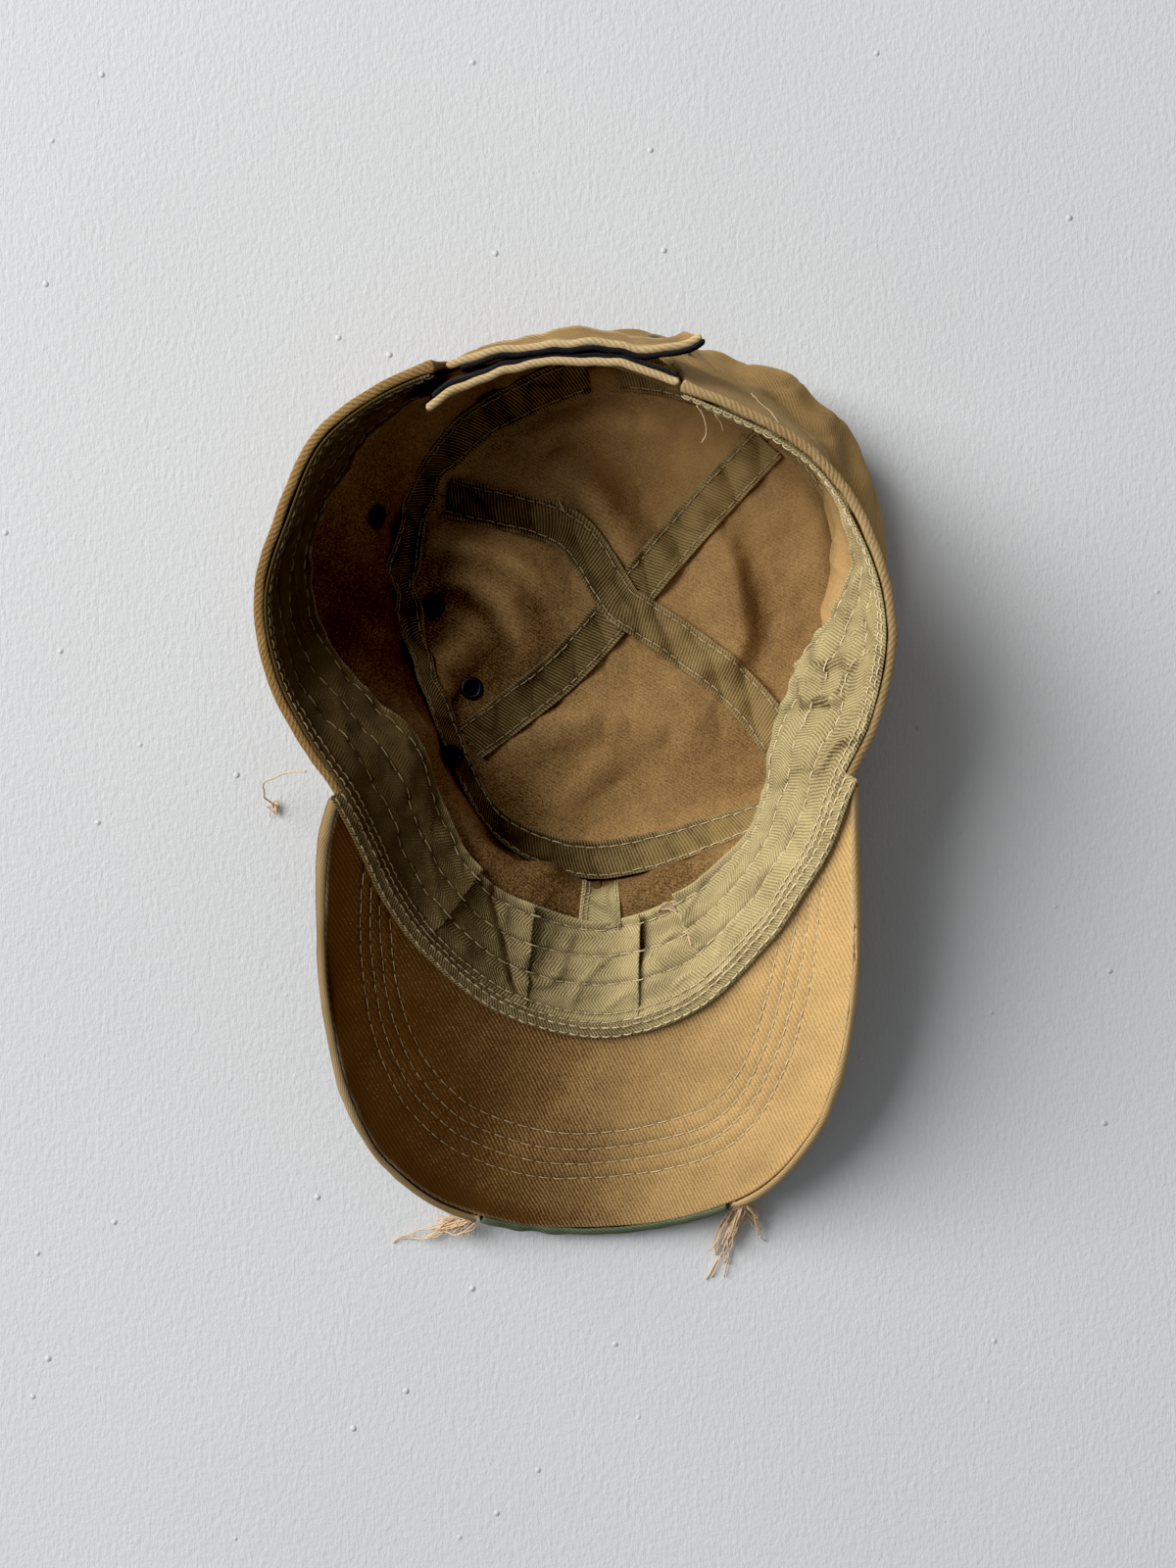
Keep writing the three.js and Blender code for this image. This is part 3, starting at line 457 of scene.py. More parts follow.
def show(name, data):
    """An object with that data, in the scene."""
    shown = bpy.data.objects.new(name, data)
    bpy.context.scene.collection.objects.link(shown)
    return shown


def shares(along, across):
    """Grids of shares along and across a cloth. Each way is its length, its steps and its edge."""
    return np.meshgrid(steps(*along), steps(*across), indexing="ij")


def plain_mesh(name, points, faces, finish, uv=None, marks=None):
    mesh = bpy.data.meshes.new(name)
    mesh.from_pydata((points * MM).tolist(), [], faces)
    mesh.polygons.foreach_set("use_smooth", np.ones(len(mesh.polygons), bool))
    if uv is not None:
        corners = np.empty(len(mesh.loops), np.int32)
        mesh.loops.foreach_get("vertex_index", corners)
        layer = mesh.uv_layers.new(name="cloth")
        layer.data.foreach_set("uv", (uv[corners] * MM).astype(np.float32).ravel())
    for mark, values in (marks or {}).items():
        attribute = mesh.attributes.new(mark, "FLOAT", "POINT")
        attribute.data.foreach_set("value", values.astype(np.float32))
    mesh.materials.append(finish)
    mesh.update()
    return show(name, mesh)


def run_length(grid, axis):
    """The length along the grid's columns or rows, from its first edge."""
    step = np.linalg.norm(np.diff(grid, axis=axis), axis=-1).mean(axis=1 - axis)
    return np.concatenate([[0], np.cumsum(step)])


def grid_normals(grid):
    along, across = np.gradient(grid, axis=0), np.gradient(grid, axis=1)
    return unit(np.cross(along, across))


def rumpled(grid, height):
    """The grid with each point moved along its normal."""
    return grid + grid_normals(grid) * height[..., None]


def border_share(length, radius):
    """How thick a cloth is near its two ends, as a share, so that its edge is round."""
    near = np.clip(np.minimum(length, length[-1] - length) / radius, 0, 1)
    return np.maximum(THINNEST, np.sqrt(1 - (1 - near) ** 2))


def cloth(name, grid, thickness, finish, marks=None, uv=None, behind=None, fold=None, lay=None):
    """A closed piece of cloth round a grid of points in its middle.

    It may have another finish on its back, which also covers the front where it is folded over.
    Its lay is its own normals and lengths along it, where the grid's columns lean too much.
    """
    columns, rows = grid.shape[:2]
    thickness = np.broadcast_to(np.asarray(thickness, float), (columns, rows))
    along, across = run_length(grid, 0), run_length(grid, 1)
    radius = float(thickness.mean()) / 2
    edge = border_share(along, radius)[:, None] * border_share(across, radius)[None, :]
    normals, lengths = lay or (grid_normals(grid), along[:, None])
    offset = normals * (thickness * edge / 2)[..., None]
    points = np.concatenate([(grid + offset).reshape(-1, 3), (grid - offset).reshape(-1, 3)])
    index = np.arange(columns * rows).reshape(columns, rows)
    back = index + columns * rows

    def quads(a, b, c, d):
        return np.stack([a.ravel(), b.ravel(), c.ravel(), d.ravel()], axis=1)

    faces = [
        quads(index[:-1, :-1], index[1:, :-1], index[1:, 1:], index[:-1, 1:]),
        quads(back[:-1, :-1], back[:-1, 1:], back[1:, 1:], back[1:, :-1]),
        quads(index[:-1, 0], back[:-1, 0], back[1:, 0], index[1:, 0]),
        quads(index[:-1, -1], index[1:, -1], back[1:, -1], back[:-1, -1]),
        quads(index[0, :-1], index[0, 1:], back[0, 1:], back[0, :-1]),
        quads(index[-1, :-1], back[-1, :-1], back[-1, 1:], index[-1, 1:]),
    ]
    if uv is None:
        depth = 0.5 * float(np.linalg.norm(offset[:, 0], axis=-1).mean())
        ahead = depth + run_length(grid + offset, 1)
        behind_it = -depth - run_length(grid - offset, 1)
        fronts, backs = (planar(lengths, run[None, :])[..., :2] for run in (ahead, behind_it))
        uv = np.concatenate([fronts.reshape(-1, 2), backs.reshape(-1, 2)])
    else:
        uv = np.concatenate([uv.reshape(-1, 2)] * 2)
    # Every cloth has a mark of wear and a mark of painted light and shade.
    marks = {"worn": 0.0, "painted_shading": 0.0, **(marks or {})}
    for mark, values in marks.items():
        marks[mark] = np.tile(np.broadcast_to(values, (columns, rows)).ravel(), 2)
    faces = np.concatenate(faces)
    piece = plain_mesh(name, points, faces.tolist(), finish, uv, marks)
    if behind:
        piece.data.materials.append(behind)
        side = np.ones(len(faces), np.int32)
        front = (columns - 1) * (rows - 1)
        side[:front] = 0 if fold is None else fold[:-1, :-1].ravel()
        piece.data.polygons.foreach_set("material_index", side)
    return piece


def cloth_area(grid):
    """The area of a grid of points, in square millimetres."""
    along, across = np.diff(grid, axis=0)[:, :-1], np.diff(grid, axis=1)[:-1]
    return float(np.linalg.norm(np.cross(along, across), axis=-1).sum())


def around(sides):
    """Angles evenly round a circle."""
    return np.linspace(0, 2 * math.pi, sides, endpoint=False)


def tube(points, radius, sides):
    """Points and faces of a round tube along a line, with closed ends."""
    points = np.asarray(points, float)
    radius = np.broadcast_to(np.asarray(radius, float), len(points))
    way = unit(np.gradient(points, axis=0))
    side = unit(np.cross(way, UP + np.array([0.13, 0.07, 0.0])))
    other = np.cross(way, side)
    turn = around(sides)[None, :, None]
    ring = side[:, None] * np.cos(turn) + other[:, None] * np.sin(turn)
    made = (points[:, None] + ring * radius[:, None, None]).reshape(-1, 3)
    faces = [tuple(range(sides)), tuple(range(len(made) - sides, len(made)))[::-1]]
    for start in range(0, len(made) - sides, sides):
        for k in range(sides):
            a, b = start + k, start + (k + 1) % sides
            faces.append((a, a + sides, b + sides, b))
    return made, faces


def threads(name, lines, finish):
    """One piece of several thin threads. A line is its points and its radius."""
    points, faces, count = [], [], 0
    for line, radius in lines:
        made, rings = tube(line, radius, sides=5)
        points.append(made)
        faces += [tuple(i + count for i in face) for face in rings]
        count += len(made)
    return plain_mesh(name, np.concatenate(points), faces, finish)


# Node trees


def feed(tree, slot, value):
    """Links a value into a node's slot, or writes a plain one there."""
    if isinstance(value, Value):
        tree.links.new(value.socket, slot)
    elif value is not None:
        slot.default_value = value


def maths(operation, swapped=False):
    """A method that adds one Math node to the tree of a value."""

    def method(self, other=None):
        node = self.tree.nodes.new("ShaderNodeMath")
        node.operation = operation
        for slot, value in zip(node.inputs, (other, self) if swapped else (self, other)):
            feed(self.tree, slot, value)
        return Value(self.tree, node.outputs[0])

    return method


class Value:
    """An output of a node tree. Sums of values add Math nodes."""

    __add__ = __radd__ = maths("ADD")
    __mul__ = __rmul__ = maths("MULTIPLY")
    __sub__, __rsub__ = maths("SUBTRACT"), maths("SUBTRACT", swapped=True)
    sine, floor, size, part = maths("SINE"), maths("FLOOR"), maths("ABSOLUTE"), maths("FRACT")

    def __init__(self, tree, socket):
        self.tree, self.socket = tree, socket

    def wave(self):
        """Up and down between 0 and 1, once for every whole number."""
        return (self * (2 * math.pi)).sine() * 0.5 + 0.5

    def clipped(self):
        kept = self + 0.0
        kept.socket.node.use_clamp = True
        return kept


class Nodes:
    """A node tree, and one method that adds any node to it."""

    def __init__(self, tree):
        self.tree = tree

    def node(self, kind, settings=None, output=0, numbered=None, **named):
        """A node's output, after its settings and then its sockets, by number or by name."""
        node = self.tree.nodes.new(kind)
        for name, value in (settings or {}).items():
            setattr(node, name, value)
        for number, value in (numbered or {}).items():
            feed(self.tree, node.inputs[number], value)
        for name, value in named.items():
            feed(self.tree, node.inputs[name.replace("_", " ")], value)
        return Value(self.tree, node.outputs[output])


class Finish(Nodes):
    """A material, with the patterns that the cloths share."""

    def __init__(self, name, roughness, sheen=0.0, specular=0.3):
        self.material = bpy.data.materials.new(name)
        self.material.use_nodes = True
        super().__init__(self.material.node_tree)
        self.shader = self.tree.nodes["Principled BSDF"]
        self.shader.inputs["Roughness"].default_value = roughness
        self.shader.inputs["Specular IOR Level"].default_value = specular
        self.shader.inputs["Sheen Weight"].default_value = sheen
        self.shader.inputs["Sheen Roughness"].default_value = 0.5
        self.shader.inputs["Sheen Tint"].default_value = (0.62, 0.45, 0.25, 1)

    def place(self):
        """Object coordinates, in metres."""
        return self.node("ShaderNodeTexCoord", output=3)

    def cloth_place(self):
        """The piece's own coordinates along and across the cloth, in millimetres."""
        uv = self.node("ShaderNodeUVMap", {"uv_map": "cloth"})
        along = self.node("ShaderNodeSeparateXYZ", Vector=uv)
        across = Value(self.tree, along.socket.node.outputs[1])
        return along * 1000.0, across * 1000.0

    def mark(self, name):
        return self.node("ShaderNodeAttribute", {"attribute_name": name}, output=2)

    def noise(self, size, detail=2.0, roughness=0.5):
        """Random cloudiness from 0 to 1, with lumps of about that size in millimetres."""
        fine = {"Scale": 1000.0 / size, "Detail": detail, "Roughness": roughness}
        return self.node("ShaderNodeTexNoise", Vector=self.place(), **fine)

    def mix(self, share, first, second):
        """A colour between two others, through the mix node's own sockets for colours."""
        first, second = (c if isinstance(c, Value) else (*c, 1) for c in (first, second))
        given = {0: share, 6: first, 7: second}
        return self.node("ShaderNodeMix", {"data_type": "RGBA"}, output=2, numbered=given)

    def paint(self, colour):
        feed(self.tree, self.shader.inputs["Base Color"], colour)

    def relief(self, height, depth):
        """Raises and lowers the surface by up to that depth, in millimetres."""
        raised = self.node("ShaderNodeBump", Height=height, Strength=1.0, Distance=depth * MM)
        feed(self.tree, self.shader.inputs["Normal"], raised)

    def dye(self, shade, rubbed, dark, light, worn):
        """Colours a cloth by its shade of dye, lightens or darkens it by its mark of painted light
        and shade, and bleaches it where it is rubbed.
        """
        base = self.mix((0.5 + shade + self.mark("painted_shading")).clipped(), dark, light)
        self.paint(self.mix(rubbed.clipped(), base, worn))


def srgb(red, green, blue):
    """A colour as the shader needs it, from the 0 to 255 of a picture."""
    shares = (value / 255 for value in (red, green, blue))
    return tuple(v / 12.92 if v < 0.0404 else ((v + 0.055) / 1.055) ** 2.4 for v in shares)


def twill(
    name, dark, light, worn, pitch=1.0, heading=60, contrast=0.4, depth=0.12, fuzz=0.3, clouds=0.6
):
    """Cotton twill: slanting lines, thread by thread, faded in patches."""
    made = Finish(name, 0.92, sheen=0.12, specular=0.12)
    along, across = made.cloth_place()
    turn = math.radians(heading)
    patches = made.noise(26, 3, 0.55)
    grain = made.noise(0.55, 3, 0.7)
    specks = made.noise(1.6, 2, 0.6)
    drift = (made.noise(9, 2) - 0.5) * 1.1
    line_place = (along * math.cos(turn) + across * math.sin(turn)) * (1 / pitch) + drift
    thread_place = (across * math.cos(turn) - along * math.sin(turn)) * (1 / (pitch * 0.8))
    thread = (thread_place + line_place.floor() * 0.31).wave()
    weave = line_place.wave() * (0.8 + 0.2 * thread)
    cloudy = (patches - 0.5) * clouds + (specks - 0.5) * 0.26
    fine = (grain - 0.5) * (0.7 + fuzz) + (weave - 0.5) * contrast
    rubbed = made.mark("worn") * (0.55 + 0.45 * weave) + (patches - 0.7) * clouds
    made.dye(cloudy + fine, rubbed, dark, light, worn)
    made.relief(weave * contrast + grain * (0.5 + fuzz) + specks * 0.4, depth)
    return made.material


def ribbed_tape(name, dark, light, worn, depth, contrast=0.7, zigzag=0.0):
    """Cotton tape: slanting ribs 1 mm apart, in a zigzag where it is herringbone."""
    made = Finish(name, 0.85, sheen=0.2, specular=0.2)
    along, across = made.cloth_place()
    patches = made.noise(17, 3, 0.6)
    grain = made.noise(0.5, 2, 0.7)
    stain = made.noise(6, 3, 0.6)
    drift = (made.noise(7, 2) - 0.5) * 0.5
    slant = across * 0.35
    if zigzag:
        slant = ((across * (1 / zigzag)).part() - 0.5).size() * (zigzag * 0.7)
    cross = (across * (1 / 0.62)).wave()
    weave = (along + slant + drift).wave() * (0.7 + 0.3 * cross)
    cloudy = (patches - 0.5) * 0.45 + (stain - 0.5) * 0.35
    fine = (grain - 0.5) * 0.7 + (weave - 0.5) * contrast
    rubbed = made.mark("worn") * (0.5 + 0.5 * weave) + (stain - 0.68) * 0.7
    made.dye(cloudy + fine, rubbed, dark, light, worn)
    made.relief(weave * 0.9 + grain * 0.7, depth)
    return made.material


def thread_finish(name, dark, light, painted_light=0.0):
    """Sewing thread: two plies twisted together, with painted light that makes it lighter towards
    the right.
    """
    made = Finish(name, 0.8, sheen=0.2, specular=0.25)
    patches = made.noise(3, 2)
    grain = made.noise(0.3, 2, 0.7)
    rightward = made.node("ShaderNodeSeparateXYZ", Vector=made.place())
    rightward = (rightward * (1 / (110 * MM)) + 0.5).clipped()
    shade = patches * 0.8 + grain * 0.6 - 0.2 + (rightward - 0.5) * painted_light
    made.paint(made.mix(shade.clipped(), dark, light))
    made.relief(grain, 0.05)
    return made.material


def fastener_finish():
    """Black hook-and-loop pile, with lint in it."""
    made = Finish("black_pile", 0.95, sheen=0.15, specular=0.1)
    pile = made.noise(0.6, 3, 0.8)
    lint = made.noise(1.1, 3, 0.8)
    colour = made.mix(pile, (0.006, 0.006, 0.006), (0.03, 0.028, 0.026))
    made.paint(made.mix(((lint - 0.66) * 6.0).clipped(), colour, srgb(96, 86, 66)))
    made.relief(pile, 0.5)
    return made.material


def metal_finish():
    """Black lacquered brass, rubbed at its rim."""
    made = Finish("black_metal", 0.38, specular=0.5)
    made.shader.inputs["Metallic"].default_value = 0.6
    rub = made.noise(1.2, 3, 0.6)
    made.paint(made.mix(((rub - 0.6) * 4.0).clipped(), (0.012, 0.012, 0.013), (0.06, 0.05, 0.035)))
    made.relief(rub, 0.04)
    return made.material


def hole_shade_finish():
    """A black disc of painted shade for the dark inside of an eyelet's hole, with a little dust."""
    made = Finish("eyelet_hole", 0.9, specular=0.1)
    made.paint(made.mix(made.noise(0.7, 2, 0.6), srgb(9, 9, 9), srgb(18, 17, 16)))
    return made.material


def floor_finish():
    """A pale painted floor with soft brush marks and a few specks in the paint."""
    made = Finish("pale_paint", 0.62, specular=0.3)
    place = made.place()
    shift = made.node("ShaderNodeMapping", Vector=place, Scale=(1.0, 0.28, 1.0))
    brush = made.node("ShaderNodeTexNoise", Vector=shift, Scale=820.0, Detail=3.0, Roughness=0.65)
    orange = made.noise(2.0, 3, 0.6)
    clouds = made.noise(120, 2, 0.5)
    specks = made.node("ShaderNodeTexVoronoi", Vector=place, Scale=55.0, Randomness=1.0)
    speck = ((0.06 - specks) * 25.0).clipped()
    colour = made.mix(clouds, srgb(200, 202, 203), srgb(210, 212, 213))
    made.paint(made.mix((brush * 0.3 + orange * 0.2).clipped(), colour, srgb(218, 219, 219)))
    made.relief(brush * 0.55 + orange * 0.55 + speck * 1.1, 0.42)
    return made.material


brushed = twill(
    "brushed_twill",
    dark=srgb(74, 50, 19),
    light=srgb(196, 157, 102),
    worn=srgb(204, 168, 112),
    contrast=0.14,
    depth=0.16,
    fuzz=1.0,
)
wall_twill = twill(
    "wall_twill",
    dark=srgb(104, 76, 38),
    light=srgb(184, 150, 96),
    worn=srgb(214, 188, 142),
    pitch=1.1,
    heading=50,
    contrast=0.42,
    depth=0.14,
)
peak_twill = twill(
    "peak_twill",
    dark=srgb(84, 54, 18),
    light=srgb(226, 186, 124),
    worn=srgb(220, 196, 150),
    pitch=1.02,
    heading=26,
    contrast=0.46,
    depth=0.15,
    clouds=0.35,
)
green_finish = twill(
    "green_twill", srgb(52, 62, 44), srgb(92, 104, 78), srgb(140, 146, 116), pitch=0.9
)
tape_finish = ribbed_tape(
    "seam_tape", srgb(62, 48, 20), srgb(178, 152, 98), srgb(190, 166, 118), depth=0.16
)
band_finish = ribbed_tape(
    "sweatband_tape",
    dark=srgb(76, 60, 28),
    light=srgb(206, 186, 134),
    worn=srgb(212, 194, 148),
    depth=0.12,
    contrast=0.6,
    zigzag=8,
)
# The pale thread has painted light: lighter towards the right, darker on the shaded left.
pale_thread = thread_finish("pale_thread", srgb(122, 100, 62), srgb(236, 218, 176), painted_light=0.8)
cream_thread = thread_finish("cream_thread", srgb(196, 160, 120), srgb(232, 206, 170))
pile_finish = fastener_finish()
black_metal = metal_finish()
hole_shade_black = hole_shade_finish()


# Stitches

# What the rows of stitches are made from, and how far a stitch strays from its place
STITCH_INPUTS = ("Pitch", "Length", "Thread", "Wander", "Seed", "Finish")
STITCH_WANDER = 0.12


def stitch_tree():
    """Lays sewing stitches along a line of points that know which way is up from the cloth."""
    made = Nodes(bpy.data.node_groups.new("stitch_row", "GeometryNodeTree"))
    add, tree = made.node, made.tree
    tree.interface.new_socket("Geometry", in_out="INPUT", socket_type="NodeSocketGeometry")
    for name in STITCH_INPUTS:
        kind = "NodeSocketMaterial" if name == "Finish" else "NodeSocketFloat"
        tree.interface.new_socket(name, in_out="INPUT", socket_type=kind)
    tree.interface.new_socket("Geometry", in_out="OUTPUT", socket_type="NodeSocketGeometry")
    given = tree.nodes.new("NodeGroupInput").outputs
    values = (Value(tree, given[name]) for name in STITCH_INPUTS)
    pitch, length, thread, wander, seed, finish = values

    line = add("GeometryNodeMeshToCurve", Mesh=Value(tree, given["Geometry"]))
    evened = add("GeometryNodeResampleCurve", {"mode": "LENGTH"}, Curve=line, Length=pitch * MM)
    kept = tree.nodes.new("GeometryNodeCaptureAttribute")
    kept.capture_items.new("VECTOR", "way")
    feed(tree, kept.inputs["Geometry"], evened)
    feed(tree, kept.inputs["way"], add("GeometryNodeInputTangent"))
    line, way = (Value(tree, kept.outputs[name]) for name in ("Geometry", "way"))
    points = add("GeometryNodeCurveToPoints", {"mode": "EVALUATED"}, Curve=line)
    up = add("GeometryNodeInputNamedAttribute", {"data_type": "FLOAT_VECTOR"}, Name="up")
    turned = add("FunctionNodeAlignRotationToVector", {"axis": "X"}, Vector=way)
    upright = {"axis": "Z", "pivot_axis": "X"}
    turned = add("FunctionNodeAlignRotationToVector", upright, Rotation=turned, Vector=up)

    half, lift = length * (MM / 2), thread * (MM * 1.15)
    bow = add(
        "GeometryNodeCurvePrimitiveBezierSegment",
        {"mode": "POSITION"},
        Start=add("ShaderNodeCombineXYZ", X=half * -1, Z=lift * -0.5),
        Start_Handle=add("ShaderNodeCombineXYZ", X=half * -0.8, Z=lift),
        End_Handle=add("ShaderNodeCombineXYZ", X=half * 0.8, Z=lift),
        End=add("ShaderNodeCombineXYZ", X=half, Z=lift * -0.5),
        Resolution=5,
    )
    ring = add("GeometryNodeCurvePrimitiveCircle", Resolution=5, Radius=thread * (MM / 2))
    stitch = add("GeometryNodeCurveToMesh", Curve=bow, Profile_Curve=ring, Fill_Caps=True)

    loose = wander * MM
    most = add("ShaderNodeCombineXYZ", X=loose, Y=loose, Z=loose * 0.3)
    least = add("ShaderNodeVectorMath", {"operation": "SCALE"}, Vector=most, Scale=-1.0)
    vector = {"data_type": "FLOAT_VECTOR"}
    chance = add("FunctionNodeRandomValue", vector, Seed=seed, Min=least, Max=most)
    points = add("GeometryNodeSetPosition", Geometry=points, Offset=chance)
    rows = add("GeometryNodeInstanceOnPoints", Points=points, Instance=stitch, Rotation=turned)
    rows = add("GeometryNodeRealizeInstances", Geometry=rows)
    rows = add("GeometryNodeSetShadeSmooth", Geometry=rows)
    rows = add("GeometryNodeSetMaterial", Geometry=rows, Material=finish)
    feed(tree, tree.nodes.new("NodeGroupOutput").inputs[0], rows)
    return tree


STITCH_TREE = stitch_tree()


def stitch_rows(name, lines, finish, pitch, length, seed, thread=0.32):
    """A piece with rows of stitches. Each line is its points and the way up at each point."""
    points, ups = (np.concatenate(part) for part in zip(*lines))
    edges, start = [], 0
    for line, _ in lines:
        edges += [(start + i, start + i + 1) for i in range(len(line) - 1)]
        start += len(line)
    mesh = bpy.data.meshes.new(name)
    mesh.from_pydata((points * MM).tolist(), edges, [])
    attribute = mesh.attributes.new("up", "FLOAT_VECTOR", "POINT")
    attribute.data.foreach_set("vector", ups.astype(np.float32).ravel())
    guide = show(f"{name}_line", mesh)
    modifier = guide.modifiers.new("stitches", "NODES")
    modifier.node_group = STITCH_TREE
    sizes = (float(size) for size in (pitch, length, thread, STITCH_WANDER, seed))
    wanted = dict(zip(STITCH_INPUTS, (*sizes, finish)))
    for item in STITCH_TREE.interface.items_tree:
        if item.name in wanted:
            modifier[item.identifier] = wanted[item.name]
    view = bpy.context.evaluated_depsgraph_get()
    made = bpy.data.meshes.new_from_object(guide.evaluated_get(view))
    made.name = name
    piece = show(name, made)
    bpy.data.objects.remove(guide)
    return piece


def line_on(surface):
    """A row's line and its ways up, from a function that gives a line of points beside another."""
    middle, ahead = surface(0.0), surface(0.6)
    return middle, unit(np.cross(np.gradient(middle, axis=0), ahead - middle))


# Keeping pieces

# The least and the most share of its length by width that a sheet's area is held to. How
# much of its length by width its area may be
LEAST_AREA, MOST_AREA = 0.301, 0.999


def keep(piece, slot, *nodes):
    """Puts a finished piece on the cap's one body, in place of the solids that it stands for."""
    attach(piece, "root")
    if nodes:
        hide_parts(*nodes)


def keep_sheet(piece, grid, slot, nodes, held, *rests_on):
    """Keeps a cloth, and works out how large it was cut: its mean length and width along the
    surface, and its area.
    """
    keep(piece, slot, *nodes)
    length, width = run_length(grid, 0)[-1], run_length(grid, 1)[-1]
    area = np.clip(cloth_area(grid), LEAST_AREA * length * width, MOST_AREA * length * width)


def row_shade(place, rows, width=0.55):
    """How near each place lies to rows of stitches: the groove that a row pulls into the cloth, and
    the painted shade laid in that groove.
    """
    return sum(bump(place, row, width) for row in rows)


# Side wall

# How much thicker the cloth is where it is folded over at its hem and at its arch, how far in that
# reaches, and how far in its outside shows there
HEM_EXTRA, HEM_REACH, HEM_FOLD = 0.9, 2.6, 4.5
ARCH_EXTRA, ARCH_REACH, ARCH_FOLD = 0.55, 3.5, 5


def arch_edge(v):
    return np.where(v < ARCH_HEIGHT, np.sqrt(np.clip(1 - (v / ARCH_HEIGHT) ** 2, 0, 1)), 0.0)


def wall_creases(points):
    return creases(points, 15, 13, (1, 1, 0.7))


def wall_relief(points, t, v):
    """Small folds, puckers and creases of the wall's cloth, towards the inside."""
    free = smooth(0.34, 0.5, v)
    lumps = 0.5 * waves(points, 16, 11) + 0.25 * waves(points, 7, 12, (1, 1, 1.6))
    crumple = 0.9 * wall_creases(points) ** 3
    back_right = bump(t, 305, 32)
    pucker = waves(points, 4, 14) * 0.06 * bump(v, 0, 0.05)
    folds = lumps * (0.25 + 0.75 * free) + crumple * (0.15 + 0.5 * free + 0.2 * back_right)
    rumples = waves(points, 8, 15, (1.6, 1.6, 0.6))
    folds = folds + 0.7 * bump(t, 314, 24) * smooth(0.25, 0.4, v) * rumples
    return (folds + pucker) * (1 - 0.9 * smooth(0.92, 1, v))


def wall_length(t):
    """How far each angle lies along the middle of the wall."""
    angles = np.linspace(-10, 370, 761)
    run = np.linalg.norm(np.diff(wall(angles, 0.45), axis=0), axis=-1)
    return np.interp(t, angles, np.concatenate([[0], np.cumsum(run)]))


def make_wall(name, node, end):
    """Half of the wall, from the middle of the back to the front, less its half of the arch."""
    arch_steps = ARCH_HEIGHT * np.sin(np.linspace(0, math.pi / 2, 52))
    above = np.linspace(ARCH_HEIGHT, 1, 46)
    v = np.concatenate([[0, 0.0016, 0.004, 0.008], arch_steps[1:], above[1:]])
    share, height = np.meshgrid(steps(280, 228, 1.0), np.sort(v), indexing="ij")
    seam = 0 if end < FRONT else 360
    back = between(seam, end, arch_edge(height))
    t = between(back, FRONT, share)
    if end > FRONT:
        t = t[::-1]
    points = wall(t, height)
    inside = wall_inside(t, height)
    grid = points + inside * wall_relief(points, t, height)[..., None]

    hem, arch = height * WALL_HEIGHT, np.abs(t - back) * RIM_DEGREE
    thick = 1 + HEM_EXTRA * bump(hem, 0, HEM_REACH)
    thick = thick + ARCH_EXTRA * bump(arch, 0, ARCH_REACH) * (height < ARCH_HEIGHT * 1.02)
    # The hem is rubbed lighter. This is real wear, with painted shade where its lightening falls
    # off towards the left.
    rubbed = 0.05 + 0.45 * smooth(-70, 10, grid[..., 0])
    worn = rubbed * bump(hem, 0, 3.2) + 0.15 * wall_creases(grid) ** 4
    # Painted light and shade: lighter on the lit inner wall at the right, darker at the front, on
    # the left and along the fold lines at the back right.
    painted_shading = 0.58 * bump(t, 288, 42) - 0.36 * bump(t, 172, 34) - 0.16 * bump(t, 92, 40)
    folds = sum(bump(height, at, 0.04) for at in (0.28, 0.47, 0.68)) * bump(t, 306, 24)
    painted_shading = painted_shading * smooth(0.05, 0.1, height) - 0.3 * bump(t, 85, 40) - 0.3 * folds
    look = {
        "marks": {"worn": worn, "painted_shading": painted_shading},
        "behind": wall_twill,
        "fold": (hem < HEM_FOLD) | (arch < ARCH_FOLD),
        "lay": (inside, wall_length(t)),
    }
    piece = cloth(name, grid, WALL_CLOTH * thick, brushed, **look)
    keep_sheet(piece, grid, "twill", [node], "stretched", "crown_edge_tape")


make_wall("wall_left", "side_wall_left", LEFT_END)
make_wall("wall_right", "side_wall_right", RIGHT_END)

# Crown top

# Each quarter of the crown top and the seams at its sides, and how far it runs on past the edge
QUARTERS = [
    ("back", "back_right", "back_left"),
    ("left", "back_left", "front_left"),
    ("front", "front_left", "front_right"),
    ("right", "front_right", "back_right"),
]
RUN_ON = 2.1


def top_relief(points):
    """Soft dents and finer rumples of the crown top's cloth."""
    small = 0.35 * waves(points, 9, 21) + 0.16 * waves(points, 4.5, 22)
    return small + 0.6 * waves(points, 20, 23)


# Painted shade in the crown top's hollows: x, y, half its length and width, its heading, and how
# much darker
PAINTED_SHADE_PATCHES = [
    (6, 88, 17, 6, -41, 0.34),
    (50, 58, 26, 8, -66, 0.3),
    (42, 6, 20, 13, 70, 0.28),
    (-38, 60, 13, 4, -35, 0.22),
    (-20, 40, 16, 6, 48, 0.2),
]


def top_painted_shade(x, y):
    """How much painted shade darkens the crown top in its hollows."""
    return sum(share * oval(x - at_x, y - at_y, *form) for at_x, at_y, *form, share in PAINTED_SHADE_PATCHES)


